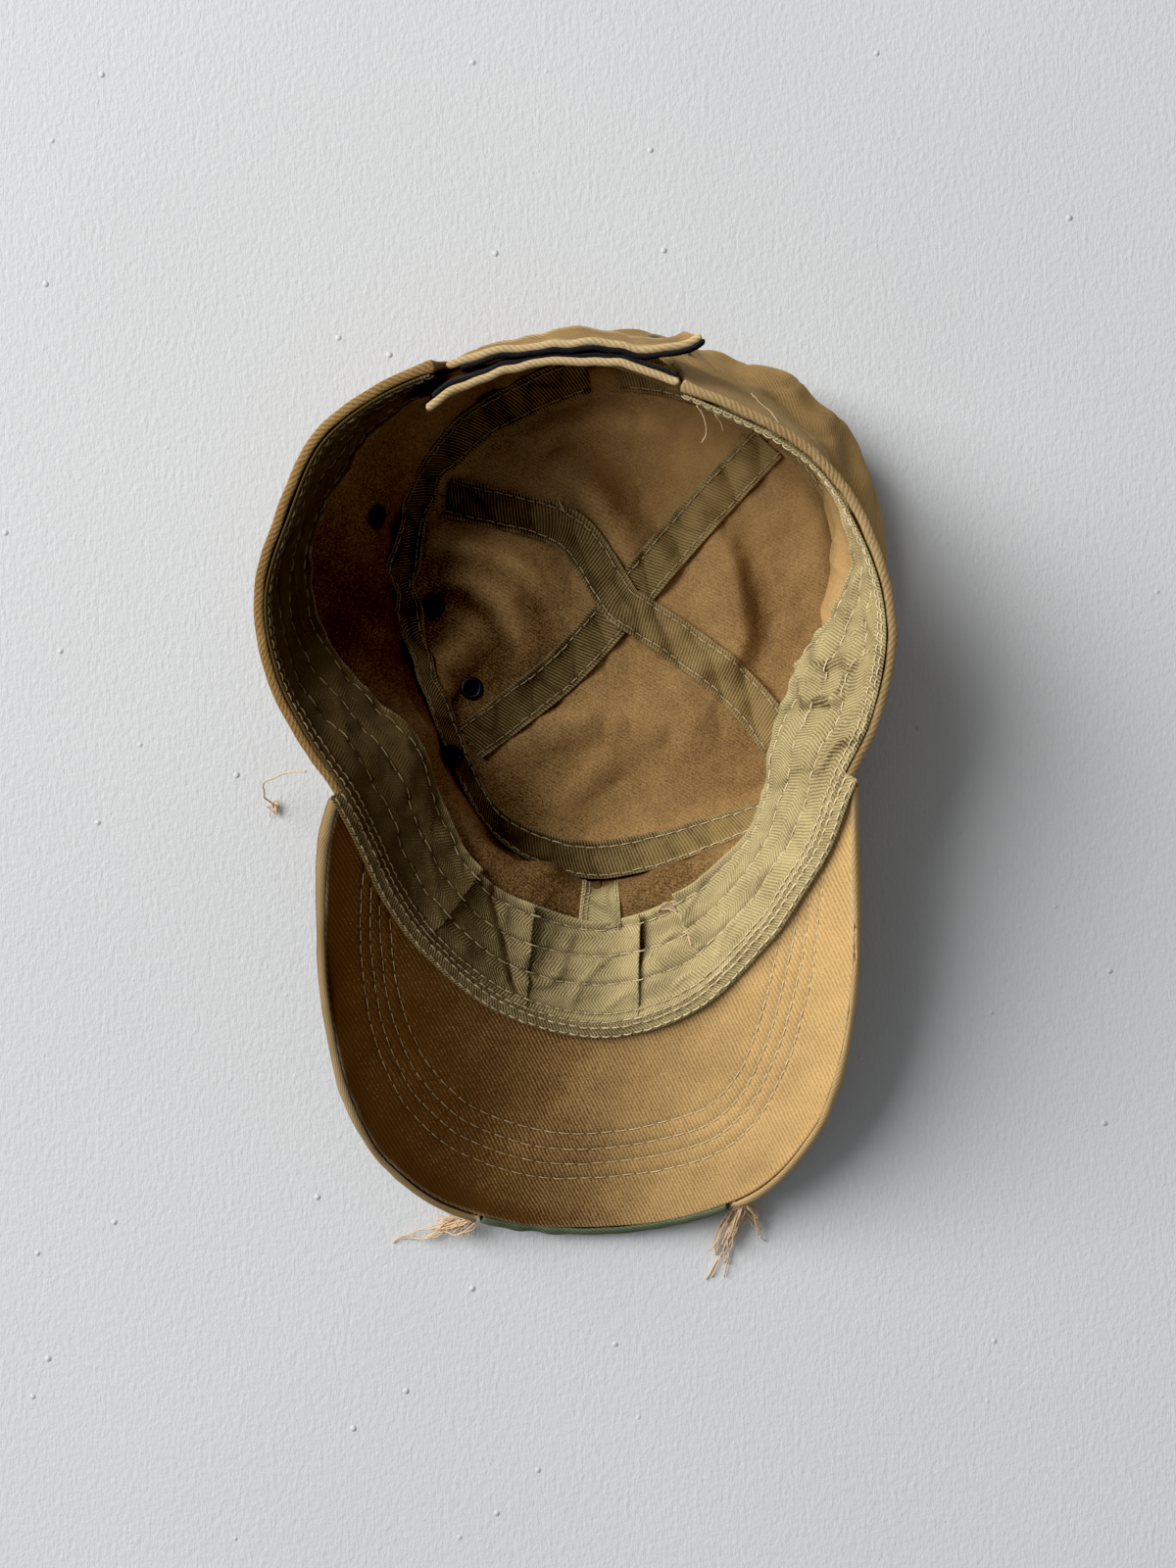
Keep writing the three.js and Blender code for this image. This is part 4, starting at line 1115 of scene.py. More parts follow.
def make_quarter(name, start, stop):
    r = np.concatenate([[0, 0.004, 0.01], np.linspace(0.02, 1, 100)])
    share, out = np.meshgrid(steps(120, 104, 0.8), r, indexing="ij")
    first_angle, last_angle = DIAGONALS[start][0], DIAGONALS[stop][0]
    t = first_angle + (last_angle - first_angle) % 360 * share
    edge = top_edge(t)[..., :2] + outward(t)[..., :2] * RUN_ON
    share = share[..., None]
    one, two = diagonal(start, out), diagonal(stop, out)
    chord = diagonal(start, np.ones(1)) * (1 - share) + diagonal(stop, np.ones(1)) * share
    place = between(one, two, share) + (out**2)[..., None] * (edge - chord)
    x, y = place[..., 0], place[..., 1]
    grid = top_surface(x, y)
    grid[..., 2] += np.abs(top_relief(grid)) * 0.8 * smooth(0, 0.05, out)
    # Painted light and shade: lighter towards the right and the back, darker in the patches of
    # painted shade and in the hollows between the folds.
    painted_shading = 0.5 * smooth(-50, 45, x) + 0.3 * smooth(40, 120, y) - 0.28
    marks = {"painted_shading": painted_shading - top_painted_shade(x, y) + 0.08 * top_hollows(x, y)}
    piece = cloth(f"crown_{name}", grid, TOP_CLOTH, wall_twill, marks, uv=place, behind=brushed)
    keep_sheet(piece, grid, "twill", [f"crown_top_{name}"], "laid", "crown_edge_tape")


for quarter in QUARTERS:
    make_quarter(*quarter)


# Seam tapes

# How far a tape lies off the middle of the cloth under it, and a place inside the crown, which the
# stitches of the tapes are turned towards
TAPE_OFF = TOP_CLOTH / 2 + 2 * GAP + TAPE / 2
INSIDE = np.array([0.0, 48.0, 60.0])

# From where to where the tapes run: as shares of the two seams, and as angles round the crown edge.
# The front tape has its angle and half its width in degrees, its lower end and its length
TAPE_FROM, TAPE_TO = 0.06, 0.945
CROWN_TAPE_FROM, CROWN_TAPE_TO = 4, 356
FRONT_TAPE_ANGLE, FRONT_TAPE_HALF = 179.6, 5.2
FRONT_TAPE_LOW, FRONT_TAPE_LONG = 0.38, 0.35


def tape_marks(grid, share, width, insets):
    """Rubbed along both edges. Painted shade darkens it under its stitches, in its puckers and
    towards the left. Painted light lightens it towards the right, the back, the very front and on
    the left side, where the tape faces the light.
    """
    place = share * width
    rows = [inset if inset > 0 else width + inset for inset in insets]
    x, y = grid[..., 0], grid[..., 1]
    painted_shading = 0.75 * smooth(-35, 60, x) + 0.25 * smooth(60, 115, y) + 0.4 * smooth(-26, -34, y) - 0.46
    painted_shading = painted_shading + 0.4 * bump(x, -58, 14) * smooth(62, 36, y) - 0.3 * creases(grid, 9, 32) ** 3
    worn = 0.5 * (bump(share, 0.02, 0.05) + bump(share, 0.98, 0.05))
    return {"worn": worn, "painted_shading": painted_shading - 0.22 * row_shade(place, rows)}


def tape_rows(name, surface, columns, insets, width=TAPE_WIDTH, **look):
    """Stitches along a tape. The surface takes shares along and across it."""
    a = np.linspace(0.01, 0.99, columns)
    lines = []
    for inset in insets:
        share = inset / width if inset > 0 else 1 + inset / width
        line, up = line_on(lambda aside: surface(a, share + aside / width))
        up = up * np.sign((up * (INSIDE - line)).sum(-1, keepdims=True))
        lines.append((line + up * (TAPE / 2 + 0.05), up))
    keep(stitch_rows(name, lines, pale_thread, **look), "tape")


def diagonal_tape(start, stop, off, hump):
    """The surface of a tape along two seams, higher by the hump where it crosses the other tape."""

    def centre(s):
        one = diagonal(start, np.clip(1 - 2 * s, 0, 1))
        two = diagonal(stop, np.clip(2 * s - 1, 0, 1))
        return np.where((s < 0.5)[..., None], one, two)

    def surface(a, v):
        a, v = paired(a, v)
        s = between(TAPE_FROM, TAPE_TO, a)
        here, run = centre(s), centre(np.minimum(1, s + 0.02)) - centre(np.maximum(0, s - 0.02))
        run = unit(planar(run[..., 0], run[..., 1]))
        side = (v - 0.5) * TAPE_WIDTH
        x, y = here[..., 0] - run[..., 1] * side, here[..., 1] + run[..., 0] * side
        away = np.hypot(x - CROSSING[0], y - CROSSING[1]) / 14
        edge = 0.5 * np.abs(2 * v - 1) ** 4
        made = top_surface(x, y, off + edge + hump * np.exp(-(away**4)))
        made[..., 2] += np.abs(top_relief(made)) * 0.8
        made[..., 2] += 0.3 * waves(made, 4.5, 31, (1, 1, 3)) + 0.8 * np.abs(waves(made, 9, 32))
        return made

    return surface


def make_tape(
    name, node, surface, columns, insets, held="laid", finish=tape_finish, size=(100, TAPE_WIDTH)
):
    """A tape of about that length and width, marked where its rows of stitches run."""
    length, width = size
    a, v = shares((length, columns, 0.5), (width, 22, 0.5))
    grid = surface(a, v)
    piece = cloth(name, grid, TAPE, finish, tape_marks(grid, v, width, insets))
    keep_sheet(piece, grid, "tape", [node], held)


EDGE_ROWS = (1.6, -1.6)
under = diagonal_tape("front_left", "back_right", TAPE_OFF - 0.3, 0)
over = diagonal_tape("back_left", "front_right", TAPE_OFF, TAPE + 0.7)
make_tape("tape_under", "seam_tape_under", under, 170, EDGE_ROWS)
make_tape("tape_over", "seam_tape_over", over, 190, EDGE_ROWS)
tape_rows("stitches_tape_under", under, 160, EDGE_ROWS, pitch=3.4, length=2.8, seed=3)
tape_rows("stitches_tape_over", over, 160, EDGE_ROWS, pitch=3.4, length=2.8, seed=4)


def crown_tape(a, v):
    """The tape round the crown edge, bent from the top up the wall, and open at the back."""
    a, v = paired(a, v)
    t = between(CROWN_TAPE_FROM, CROWN_TAPE_TO, a)
    edge, way = crown_edge(t), outward(t)
    front = bump(t, 180, 32)[..., None]
    left = bump(t, 84, 40)[..., None]
    on_top = edge - way * (TOP_INSET + TAPE_WIDTH / 2 - 2.4 * front - 1.2 * left)
    low = top_surface(on_top[..., 0], on_top[..., 1], TAPE_OFF + 0.35)
    corner = edge - way * (3 - 5.5 * front - 1.6 * left) + UP * (3 - 0.8 * front)
    off = WALL_CLOTH / 2 + GAP + TAPE / 2 + 1.0 * bump(t, 180, 10)
    high = on_wall(t, 0.915 - 0.06 * front[..., 0], off)
    k = v[..., None]
    made = (low * (1 - k) + corner * k) * (1 - k) + (corner * (1 - k) + high * k) * k
    pucker = (1.5 * waves(made, 5, 43, (1, 1, 2)) + 1.0 * waves(made, 9, 44)) * bump(t, 84, 30)
    lift = 0.3 * waves(made, 6, 41) + 0.4 * np.abs(waves(made, 9, 42)) + np.abs(pucker)
    return made + UP * lift[..., None] - way * (0.5 * pucker)[..., None]


CROWN_SIZE = {"held": "stretched", "size": (440, CROWN_TAPE_WIDTH)}
CROWN_LOOK = {"pitch": 3.6, "length": 3.1, "thread": 0.42, "seed": 5}
make_tape("tape_crown_edge", "crown_edge_tape", crown_tape, 300, (1.5, -1.5), **CROWN_SIZE)
tape_rows("stitches_crown_edge", crown_tape, 420, (1.8, -1.8), CROWN_TAPE_WIDTH, **CROWN_LOOK)


def front_tape(a, v):
    a, v = paired(a, v)
    t = FRONT_TAPE_ANGLE + FRONT_TAPE_HALF * (2 * v - 1)
    height = FRONT_TAPE_LOW + FRONT_TAPE_LONG * a
    return on_wall(t, height, WALL_CLOTH / 2 + 1.5 * GAP + TAPE / 2)


FRONT_ROWS = (0.9, -0.9, 2.3)
FRONT_CLOTH = {"held": "stretched", "finish": band_finish}
FRONT_LOOK = {"pitch": 2.6, "length": 2.2, "thread": 0.26, "seed": 6}
make_tape("tape_front_seam", "front_seam_tape", front_tape, 40, FRONT_ROWS, **FRONT_CLOTH)
tape_rows("stitches_front_seam", front_tape, 40, FRONT_ROWS, **FRONT_LOOK)

# Sweatband

# Millimetres of the band's free edge in one degree, about
BAND_DEGREE = 1.55

# Pieces from left to right: from and to at the rim, from and to at the free edge, how far the
# free edge stands off, and how much more it lifts at the start and at the end
BAND_PIECES = {
    "left": (21.5, 142.0, 24, 147.0, 1.0, 0.0, 2.4),
    "pleat_left": (140.5, 165.9, 141.0, 162.6, 0.6, -0.8, 3.6),
    "front": (164.9, 187.6, 158.5, 190.2, 0.4, -2.6, 4.0),
    "pleat_right": (185.6, 205.4, 187.0, 205.5, 0.4, -4.6, -0.6),
    "right": (203.8, 337, 198.6, 333, 2.2, 2.2, 0.0),
}

# How far the band stands off the wall, by angle
BAND_STANDOFF = Curve(
    [
        (20, 0), (75, 0), (95, 4), (112, 6), (130, 5), (150, 1.5), (205, 1.5), (225, 4), (245, 11),
        (262, 8), (280, 1), (338, 0),
    ]
)

# The band's rows of stitches and the ones of its seam, from the rim, with the look of each
BAND_ROWS = (11.5, 19.5, 27.6)
SEAM_ROWS = (0.9, 3.3)
BAND_STITCHES = (
    ("rows", BAND_ROWS, {"pitch": 4.4, "length": 3.7, "seed": 7, "thread": 0.4}),
    ("seam", SEAM_ROWS, {"pitch": 3.0, "length": 2.6, "seed": 8, "thread": 0.38}),
)


def band_hem(v):
    return WALL_CLOTH * (1 + HEM_EXTRA * bump(v * WALL_HEIGHT, 0, HEM_REACH)) / 2


def band_surface(spec):
    rim_from, rim_to, free_from, free_to, lift, start_lift, end_lift = spec

    def surface(a, w):
        a, w = paired(a, w)
        start, stop = between(rim_from, free_from, w), between(rim_to, free_to, w)
        t = between(start, stop, a)
        v = 0.004 + w * BAND_WIDTH / WALL_HEIGHT * (1 - 0.72 * smooth(272, 297, t))
        base = on_wall(t, v, band_hem(v) + 0.1 + 0.65 * smooth(0.05, 0.2, w) + BAND / 2)
        run = (stop - start) * BAND_DEGREE
        ends = start_lift * bump(a * run, 0, 4) + end_lift * bump((1 - a) * run, 0, 4)
        off = (BAND_STANDOFF(t)[..., 0] + lift) * np.clip(w, 0, None) ** 1.3
        side = wall_inside(t, np.full_like(t, 0.2))
        points = base - outward(t) * off[..., None] + UP * (0.5 * lift * w)[..., None]
        points = points + side * (ends * w)[..., None]
        return points + side * band_relief(points, t, w)[..., None]

    return surface


def band_creases(points):
    """Sharp slanting wrinkles in the right side of the sweatband."""
    return bump(waves(points, 11, 55, (1, 1.2, 1)), 0, 0.25)


def band_relief(points, t, w):
    """Ridge of the seam, grooves of the stitch rows, and the puckers between them."""
    place = w * BAND_WIDTH
    seam = 0.55 * np.exp(-(((place - 2.1) / 2.0) ** 4))
    grooves = row_shade(place, BAND_ROWS, 0.9) * -0.55
    rumple = 0.28 * waves(points, 5, 51) + 0.45 * waves(points, 10, 52)
    puckers = 0.13 * waves(points, 2.2, 54) * row_shade(place, BAND_ROWS, 2.0)
    slanted = creases(points, 8, 53, (1, 1.4, 0.8)) ** 3
    right = bump(t, 264, 16)
    slanted = slanted + 1.3 * right * band_creases(points)
    folds = slanted * (0.5 + 1.2 * right + 0.8 * bump(t, 176, 20))
    loose = (rumple + folds) * smooth(2, 8, place)
    return seam + grooves + puckers + loose - 1.1 * slanting_crease(t, w)


def slanting_crease(t, w):
    """The crease across the left pleat, from its free edge down to the seam."""
    return bump(t, 152.5 + 12.5 * (1 - w), 0.8) * smooth(0.06, 0.2, w)


def make_band(name, spec):
    surface = band_surface(spec)
    run = abs(spec[1] - spec[0]) * RIM_DEGREE
    columns = max(26, int(run / 1.15))
    a, w = shares((run, columns, 0.5), (BAND_WIDTH, 54, 0.5))
    grid = surface(a, w)
    place = w * BAND_WIDTH
    t = between(spec[0], spec[1], a)
    worn = 0.5 * bump(w, 1, 0.03) + 0.3 * bump(place, 2.1, 1.6) * smooth(-80, 0, grid[..., 0])
    # Painted shade in the stitch grooves, along the left pleat's crease and in the creases on the
    # right, and painted light and shade across the band: darkest on the left, lighter towards the
    # lit right.
    groove_shade = 0.25 * row_shade(place, (*BAND_ROWS, *SEAM_ROWS)) + 0.5 * slanting_crease(t, w)
    crease_shade = bump(t, 260, 18) * (0.14 + 0.4 * band_creases(grid + 1.2))
    painted_shading = 0.95 * smooth(-64, 20, grid[..., 0]) - 0.74 - groove_shade - crease_shade
    piece = cloth(f"band_{name}", grid, BAND, band_finish, {"worn": worn, "painted_shading": painted_shading})
    keep_sheet(piece, grid, "tape", [f"sweatband_{name}"], "stretched")
    across = np.linspace(0.004, 0.996, columns)
    for label, rows, look in BAND_STITCHES:
        lines = [line_on(lambda aside: surface(across, (row + aside) / BAND_WIDTH)) for row in rows]
        lines = [(line + up * (BAND / 2 + 0.04), up) for line, up in lines]
        keep(stitch_rows(f"stitches_band_{name}_{label}", lines, pale_thread, **look), "tape")


for name, spec in BAND_PIECES.items():
    make_band(name, spec)

# Peak

# The rows of stitches, from the outer edge. The lower cloth and the upper one run between two
# shares of the edge. The lower one ends inside it. The upper one lies below it and rolls up round
# the edge, and so does the green one. The whole width is more than the peak has anywhere
PEAK_ROWS = (19.5, 24.4, 29.2, 34.4)
PEAK_LOOK = {"pitch": 4.3, "length": 3.6}
LOWER_FROM, LOWER_TO, LOWER_INSET = 0.012, 0.988, 2.5
UPPER_FROM, UPPER_TO = 0.004, 0.996
UPPER_UP = -(PEAK_CLOTH + 0.15)
ROLL, ROLL_ANGLE = 1.15, 200
GREEN_ROLL, GREEN_ANGLE = 2.25, 185
WHOLE_WIDTH = 200


def row_spread(p):
    """The stitch rows lie further in and further apart on the right side of the peak."""
    return 1 + 0.32 * smooth(0.6, 0.78, p)


def peak_relief(points, inset):
    """Grooves under the stitch rows and the slight unevenness of the stiffening."""
    grooves = row_shade(inset, PEAK_ROWS, 0.75) * -0.26
    return grooves + 0.35 * waves(points, 24, 61) + 0.12 * waves(points, 7, 62)


def peak_painted_shading(points):
    """Painted light and shade on the peak's cloth: darker on the left, which slopes away from the
    light, lighter on the right, which faces it.
    """
    return 1.03 * smooth(-66, 76, points[..., 0]) - 0.65


def lower_peak(p, inset, up=0.0):
    points = peak_point(p, inset, 0)
    lift = peak_relief(points, inset / row_spread(p)) + up
    return points + peak_normal(points[..., 0]) * np.asarray(lift)[..., None]


def make_lower_peak():
    p, share = shares((330, 236, 1), (70, 96, 1))
    p = between(LOWER_FROM, LOWER_TO, p)
    width = peak_width(p) - 0.2
    inset = between(width, np.minimum(LOWER_INSET, width * 0.5), share)
    grid = lower_peak(p, inset)
    # Painted shade in the stitch grooves and along the left side just inside the edge, on top of
    # the peak's painted light and shade.
    left = smooth(20, -60, grid[..., 0])
    worn = 0.6 * bump(inset, LOWER_INSET, 1.0)
    shaded = 0.14 * row_shade(inset / row_spread(p), PEAK_ROWS) + 0.3 * left * bump(inset, 6, 3)
    marks = {"worn": worn, "painted_shading": peak_painted_shading(grid) - shaded}
    piece = cloth("peak_lower", grid, PEAK_CLOTH, peak_twill, marks, uv=grid[..., :2])
    keep_sheet(piece, grid, "peak_twill", ["peak_lower_cloth"], "stretched", "peak_upper_cloth")


def curl_shares(length, columns, near, width, rows):
    """Shares along and across a rolled cloth, whose second half is the curl."""
    flat, curl = 0.5 * steps(width, rows, near[1])[:-1], 0.5 + 0.5 * steps(10, 16, 0.6)
    return np.meshgrid(steps(length, columns, near[0]), np.concatenate([flat, curl]), indexing="ij")


def rolled(p, share, up, radius, cloth_thick, start, angle):
    """A cloth that runs out under the peak and curls up round its edge in its last half."""
    begin = np.minimum(start, peak_width(p) - 0.25)
    bottom = cloth_thick / 2 + radius
    turn = np.radians(np.clip((share - 0.5) * 2, 0, 1) * angle)
    flat, curl = between(begin, bottom, share * 2), bottom - radius * np.sin(turn)
    inset = np.where(share <= 0.5, flat, curl)
    return peak_point(p, inset, up + radius * (1 - np.cos(turn)))


def make_upper_peak():
    p, share = curl_shares(380, 236, (1, 1), 70, 52)
    p = between(UPPER_FROM, UPPER_TO, p)
    curled = rolled(p, share, UPPER_UP, ROLL, PEAK_CLOTH, WHOLE_WIDTH, ROLL_ANGLE)
    begin = np.minimum(WHOLE_WIDTH, peak_width(p) - 0.25)
    flat = peak_point(p, between(begin, 2.6, share), UPPER_UP)
    torn = smooth(GREEN_FROM - 0.006, GREEN_FROM, p) * smooth(GREEN_TO + 0.006, GREEN_TO, p)
    grid = between(curled, flat, torn[..., None])
    grid = rumpled(grid, 0.1 * waves(grid, 12, 63) + 0.05 * waves(grid, 4, 64))
    # The upper cloth has the peak's painted light and shade.
    marks = {"worn": 0.6 * smooth(0.62, 0.8, share), "painted_shading": peak_painted_shading(grid)}
    piece = cloth("peak_upper", grid, PEAK_CLOTH, wall_twill, marks)
    keep_sheet(piece, grid, "peak_twill", ["peak_upper_cloth"], "stretched", "peak_lower_cloth")


def make_peak_stitches():
    lower, upper = [], []
    for row in PEAK_ROWS:
        p = np.linspace(0.075, 0.925, 330)
        p = p[peak_width(p) > row * row_spread(p) + 3.5]
        inset = row * row_spread(p)
        line = lower_peak(p, inset, PEAK_CLOTH / 2 + 0.05)
        lower.append((line, peak_normal(line[:, 0])))
        line = peak_point(p, inset, UPPER_UP - PEAK_CLOTH / 2 - 0.02)
        upper.append((line, -peak_normal(line[:, 0])))
    for side, lines, seed in (("lower", lower, 9), ("upper", upper, 10)):
        rows = stitch_rows(f"stitches_peak_{side}", lines, pale_thread, seed=seed, **PEAK_LOOK)
        keep(rows, "peak_twill")


def make_green_edge():
    p, share = curl_shares(105, 90, (0.8, 0.6), PATCH_WIDTH, 18)
    p = between(GREEN_FROM, GREEN_TO, p)
    up = UPPER_UP - PEAK_CLOTH / 2 - 0.2 - PATCH_CLOTH / 2
    grid = rolled(p, share, up, GREEN_ROLL, PATCH_CLOTH, PATCH_WIDTH, GREEN_ANGLE)
    grid = rumpled(grid, 0.2 * waves(grid, 5, 65))
    marks = {"worn": 0.4 * smooth(0.6, 0.8, share)}
    piece = cloth("peak_green_edge", grid, PATCH_CLOTH, green_finish, marks)
    keep_sheet(piece, grid, "green_twill", ["peak_edge_patch"], "folded", "peak_upper_cloth")


make_lower_peak()
make_upper_peak()
make_peak_stitches()
make_green_edge()


def seam_binding(a, q):
    """The bound edge of the sweatband, which lies over the seam of the rim and the peak."""
    a, q = paired(a, q)
    t = between(PEAK_LEFT - 1, PEAK_RIGHT + 1, a)
    p = (t - PEAK_LEFT) / (PEAK_RIGHT - PEAK_LEFT)
    run = unit(rim(t + 0.5) - rim(t - 0.5))
    peak_up = peak_normal(rim(t)[..., 0])
    up = unit(peak_up * 1.2 + wall_inside(t, np.full_like(t, 0.01)))
    side = unit(np.cross(up, run))
    side = side * np.sign((side * outward(t)).sum(-1, keepdims=True))
    across = 2 * q - 1
    middle = rim(t) + up * 1.55 + side * (1.0 + 2.3 * across)[..., None]
    dome = 0.75 * (1 - across**2) - 0.35 * bump(across, 0, 0.18)
    end = np.minimum(smooth(-0.01, 0.03, p), smooth(-0.01, 0.03, 1 - p))
    return middle + up * ((dome + 0.12 * waves(middle, 3, 71)) * end)[..., None]


def make_binding():
    a, q = shares((245, 200, 0.5), (5, 12, 0.4))
    grid = seam_binding(a, q)
    # Painted light and shade: darker on the left, lighter on the right.
    marks = {"worn": 0.1, "painted_shading": 0.5 * smooth(-50, 60, grid[..., 0]) - 0.42}
    piece = cloth("band_binding", grid, BAND, band_finish, marks)
    keep_sheet(piece, grid, "tape", [], "folded", "peak_lower")
    across = np.linspace(0.01, 0.99, 260)
    lines = []
    for row in (0.27, 0.76):
        line, beside = seam_binding(across, row), seam_binding(across, row + 0.1)
        up = unit(np.cross(np.gradient(line, axis=0), beside - line))
        up = up * np.sign(up[:, 2:3])
        lines.append((line + up * (BAND / 2 + 0.04), up))
    look = {"pitch": 3.2, "length": 2.5, "thread": 0.5, "seed": 12}
    keep(stitch_rows("stitches_binding", lines, pale_thread, **look), "tape")


make_binding()

# Closure straps

# Their upper edge, and how far the lower edge leans outwards: share, x, y, z, lean
STRAP_INNER = Curve(
    [
        (0, -43.9, 105.0, 81, 4), (0.2, -33.8, 110.8, 82.5, 5), (0.45, -15.1, 116.6, 83, 6),
        (0.6, -4.2, 117.6, 83, 6), (0.8, 9, 116.4, 83, 5), (1, 24.6, 111.9, 82.8, 3),
    ]
)
STRAP_OUTER = Curve(
    [
        (0, -38.3, 115.9, 83, 4), (0.2, -26.6, 119.4, 83.6, 6), (0.45, -9, 121.6, 84, 8),
        (0.6, 3, 121.8, 84, 8.5), (0.8, 17, 119.8, 83.6, 8), (0.92, 26, 121.4, 83.4, 7),
        (1, 30.6, 124.6, 83.2, 6),
    ]
)


def strap(curve, s, w, off=0.0):
    s, w = paired(s, w)
    here, before, after = curve(s), curve(np.maximum(0, s - 0.01)), curve(np.minimum(1, s + 0.01))
    way = unit(planar(before[..., 1] - after[..., 1], after[..., 0] - before[..., 0]))
    lean = here[..., 3]
    drop = np.sqrt(STRAP_WIDTH**2 - lean**2)
    placed = here[..., :3] + CENTRE - UP * (drop * w)[..., None]
    return placed + way * (lean * w + off)[..., None]


def make_strap(name, node, curve, begin=0.0, stop=1.0, slant=0.0, side=0):
    """A strap between two shares of its curve, or the pile on that side of it."""
    top, bottom = (0.01, 0.95) if side else (0, 1)
    thickness, finish, slot = STRAP_CLOTH, wall_twill, "twill"
    if side:
        thickness, finish, slot = PILE, pile_finish, "fastener"
    a, w = shares((75, 80, 0.8), (STRAP_WIDTH, 26, 0.8))
    start = begin + slant * w
    off = side * (STRAP_CLOTH / 2 + PILE / 2 - 0.1)
    grid = strap(curve, between(start, stop, a), between(top, bottom, w), off)
    grid = rumpled(grid, 0.3 * waves(grid, 9, 81) + 0.15 * waves(grid, 4, 82))
    edge = 1.0 if side else 1 + 0.5 * (bump(w, 0, 0.09) + bump(w, 1, 0.09))
    worn = bump(w, 0, 0.12) + bump(w, 1, 0.12) + 0.5 * bump(a, 1, 0.03)
    piece = cloth(name, grid, thickness * edge, finish, {"worn": worn})
    keep_sheet(piece, grid, slot, [node], "stretched")


make_strap("strap_inner_cloth", "strap_inner", STRAP_INNER)
make_strap("strap_outer_cloth", "strap_outer", STRAP_OUTER, slant=0.17)
make_strap("loop_pile", "loop_patch", STRAP_INNER, 0.06, 0.99, side=1)
make_strap("hook_pile", "hook_patch", STRAP_OUTER, 0.06, side=-1)

# Eyelets

# The radius of the barrel inside, and the radius, sides and thickness of the black disc of painted
# shade in it
BARREL = 1.9
HOLE_RADIUS, HOLE_SIDES, HOLE_DEEP = 2.1, 24, 0.3


def ring_points(radius, sides, height):
    """Points round a circle, or round several."""
    turn = around(sides)[:, None]
    return planar(radius * np.cos(turn), radius * np.sin(turn), height)


def lathe(profile, sides):
    """Points and faces of a closed ring, from its section as radius and height."""
    radius, height = np.array(profile, float).T
    points = ring_points(radius, sides, height).reshape(-1, 3)
    index = np.arange(len(points)).reshape(sides, -1)
    after = np.roll(index, -1, axis=0)
    corners = (index, after, np.roll(after, -1, axis=1), np.roll(index, -1, axis=1))
    return points, np.stack([corner.ravel() for corner in corners], axis=1).tolist()


def eyelet_section():
    """A rolled flange on one side of the cloth, and the barrel that goes into it."""
    turn = np.linspace(0, math.pi, 9)
    middle, roll = (EYELET_RADIUS + BARREL) / 2, (EYELET_RADIUS - BARREL) / 2
    flange = [(middle + roll * math.cos(k), 0.75 * math.sin(k)) for k in turn]
    return [*flange, (BARREL, -0.9), (2.2, -0.9), (2.3, -0.15), (EYELET_RADIUS - 0.15, -0.1)]


def placed_on(points, place, normal):
    side = unit(np.cross(normal, np.array([0.3, 1.0, 0.2])))
    return place + points @ np.array([side, np.cross(normal, side), normal])


def make_eyelet(node, place, normal):
    ring, faces = lathe(eyelet_section(), 40)
    name = f"{node}_ring"
    keep(plain_mesh(name, placed_on(ring, place, normal), faces, black_metal), "black_metal", node)
    # The hole is filled with a black disc of painted shade.
    top = ring_points(HOLE_RADIUS, HOLE_SIDES, 0.12)[:, 0]
    disc = np.concatenate([top, top - UP * HOLE_DEEP])
    corners = np.arange(HOLE_SIDES)
    after = np.roll(corners, -1)
    faces = [tuple(corners.tolist()), tuple((corners + HOLE_SIDES)[::-1].tolist())]
    faces += np.stack([corners, corners + HOLE_SIDES, after + HOLE_SIDES, after], axis=1).tolist()
    hole = plain_mesh(f"{name}_hole", placed_on(disc, place, normal), faces, hole_shade_black)
    hole.data.polygons.foreach_set("use_smooth", np.zeros(len(hole.data.polygons), bool))
    keep(hole, "black_metal")


# On the wall: node, angle, share of the height
WALL_EYELETS = [
    ("eyelet_left_1", 64, 0.74),
    ("eyelet_left_4", 126.5, 0.82),
    ("eyelet_right_1", 240, 0.7),
    ("eyelet_right_2", 261, 0.8),
    ("eyelet_right_3", 288, 0.8),
    ("eyelet_right_4", 311, 0.8),
]
for node, *spot in WALL_EYELETS:
    normal = wall_inside(*spot)
    place = on_wall(*spot, WALL_CLOTH / 2 + 0.9)
    if node == "eyelet_left_4":
        place, normal = place + normal * 1.6, unit(normal + UP * 1.3)
    make_eyelet(node, place, normal)

# On the crown top: node, x, y
for node, x, y in (("eyelet_left_2", -48.6, 58.6), ("eyelet_left_3", -36.4, 33)):
    x, y = np.array(x + CENTRE[0]), np.array(y + CENTRE[1])
    along = top_surface(x + 2.5, y) - top_surface(x - 2.5, y)
    normal = unit(np.cross(along, top_surface(x, y + 2.5) - top_surface(x, y - 2.5)))
    make_eyelet(node, top_surface(x, y) + normal * (TOP_CLOTH / 2 + 1.5), normal)

# The small green patch on the outside of the back wall

# From where to where it runs: angle, and share of the height
PATCH_FROM, PATCH_TO = 340, 348.5
PATCH_LOW, PATCH_HIGH = 0.5, 0.62


def back_patch(a, v):
    t, height = between(PATCH_FROM, PATCH_TO, a), between(PATCH_LOW, PATCH_HIGH, v)
    return on_wall(t, height, -(WALL_CLOTH / 2 + 0.6))


def make_back_patch():
    a, v = shares((15, 24, 0.4), (9, 16, 0.4))
    grid = back_patch(a, v)
    grid = rumpled(grid, 0.3 * waves(grid, 3, 91))
    marks = {"worn": bump(a, 0, 0.1) + bump(a, 1, 0.1)}
    piece = cloth("back_green_patch", grid, WORN_PATCH_CLOTH, green_finish, marks)
    keep_sheet(piece, grid, "green_twill", ["back_patch"], "laid", "wall_right")


make_back_patch()

# Loose threads and frayed ends

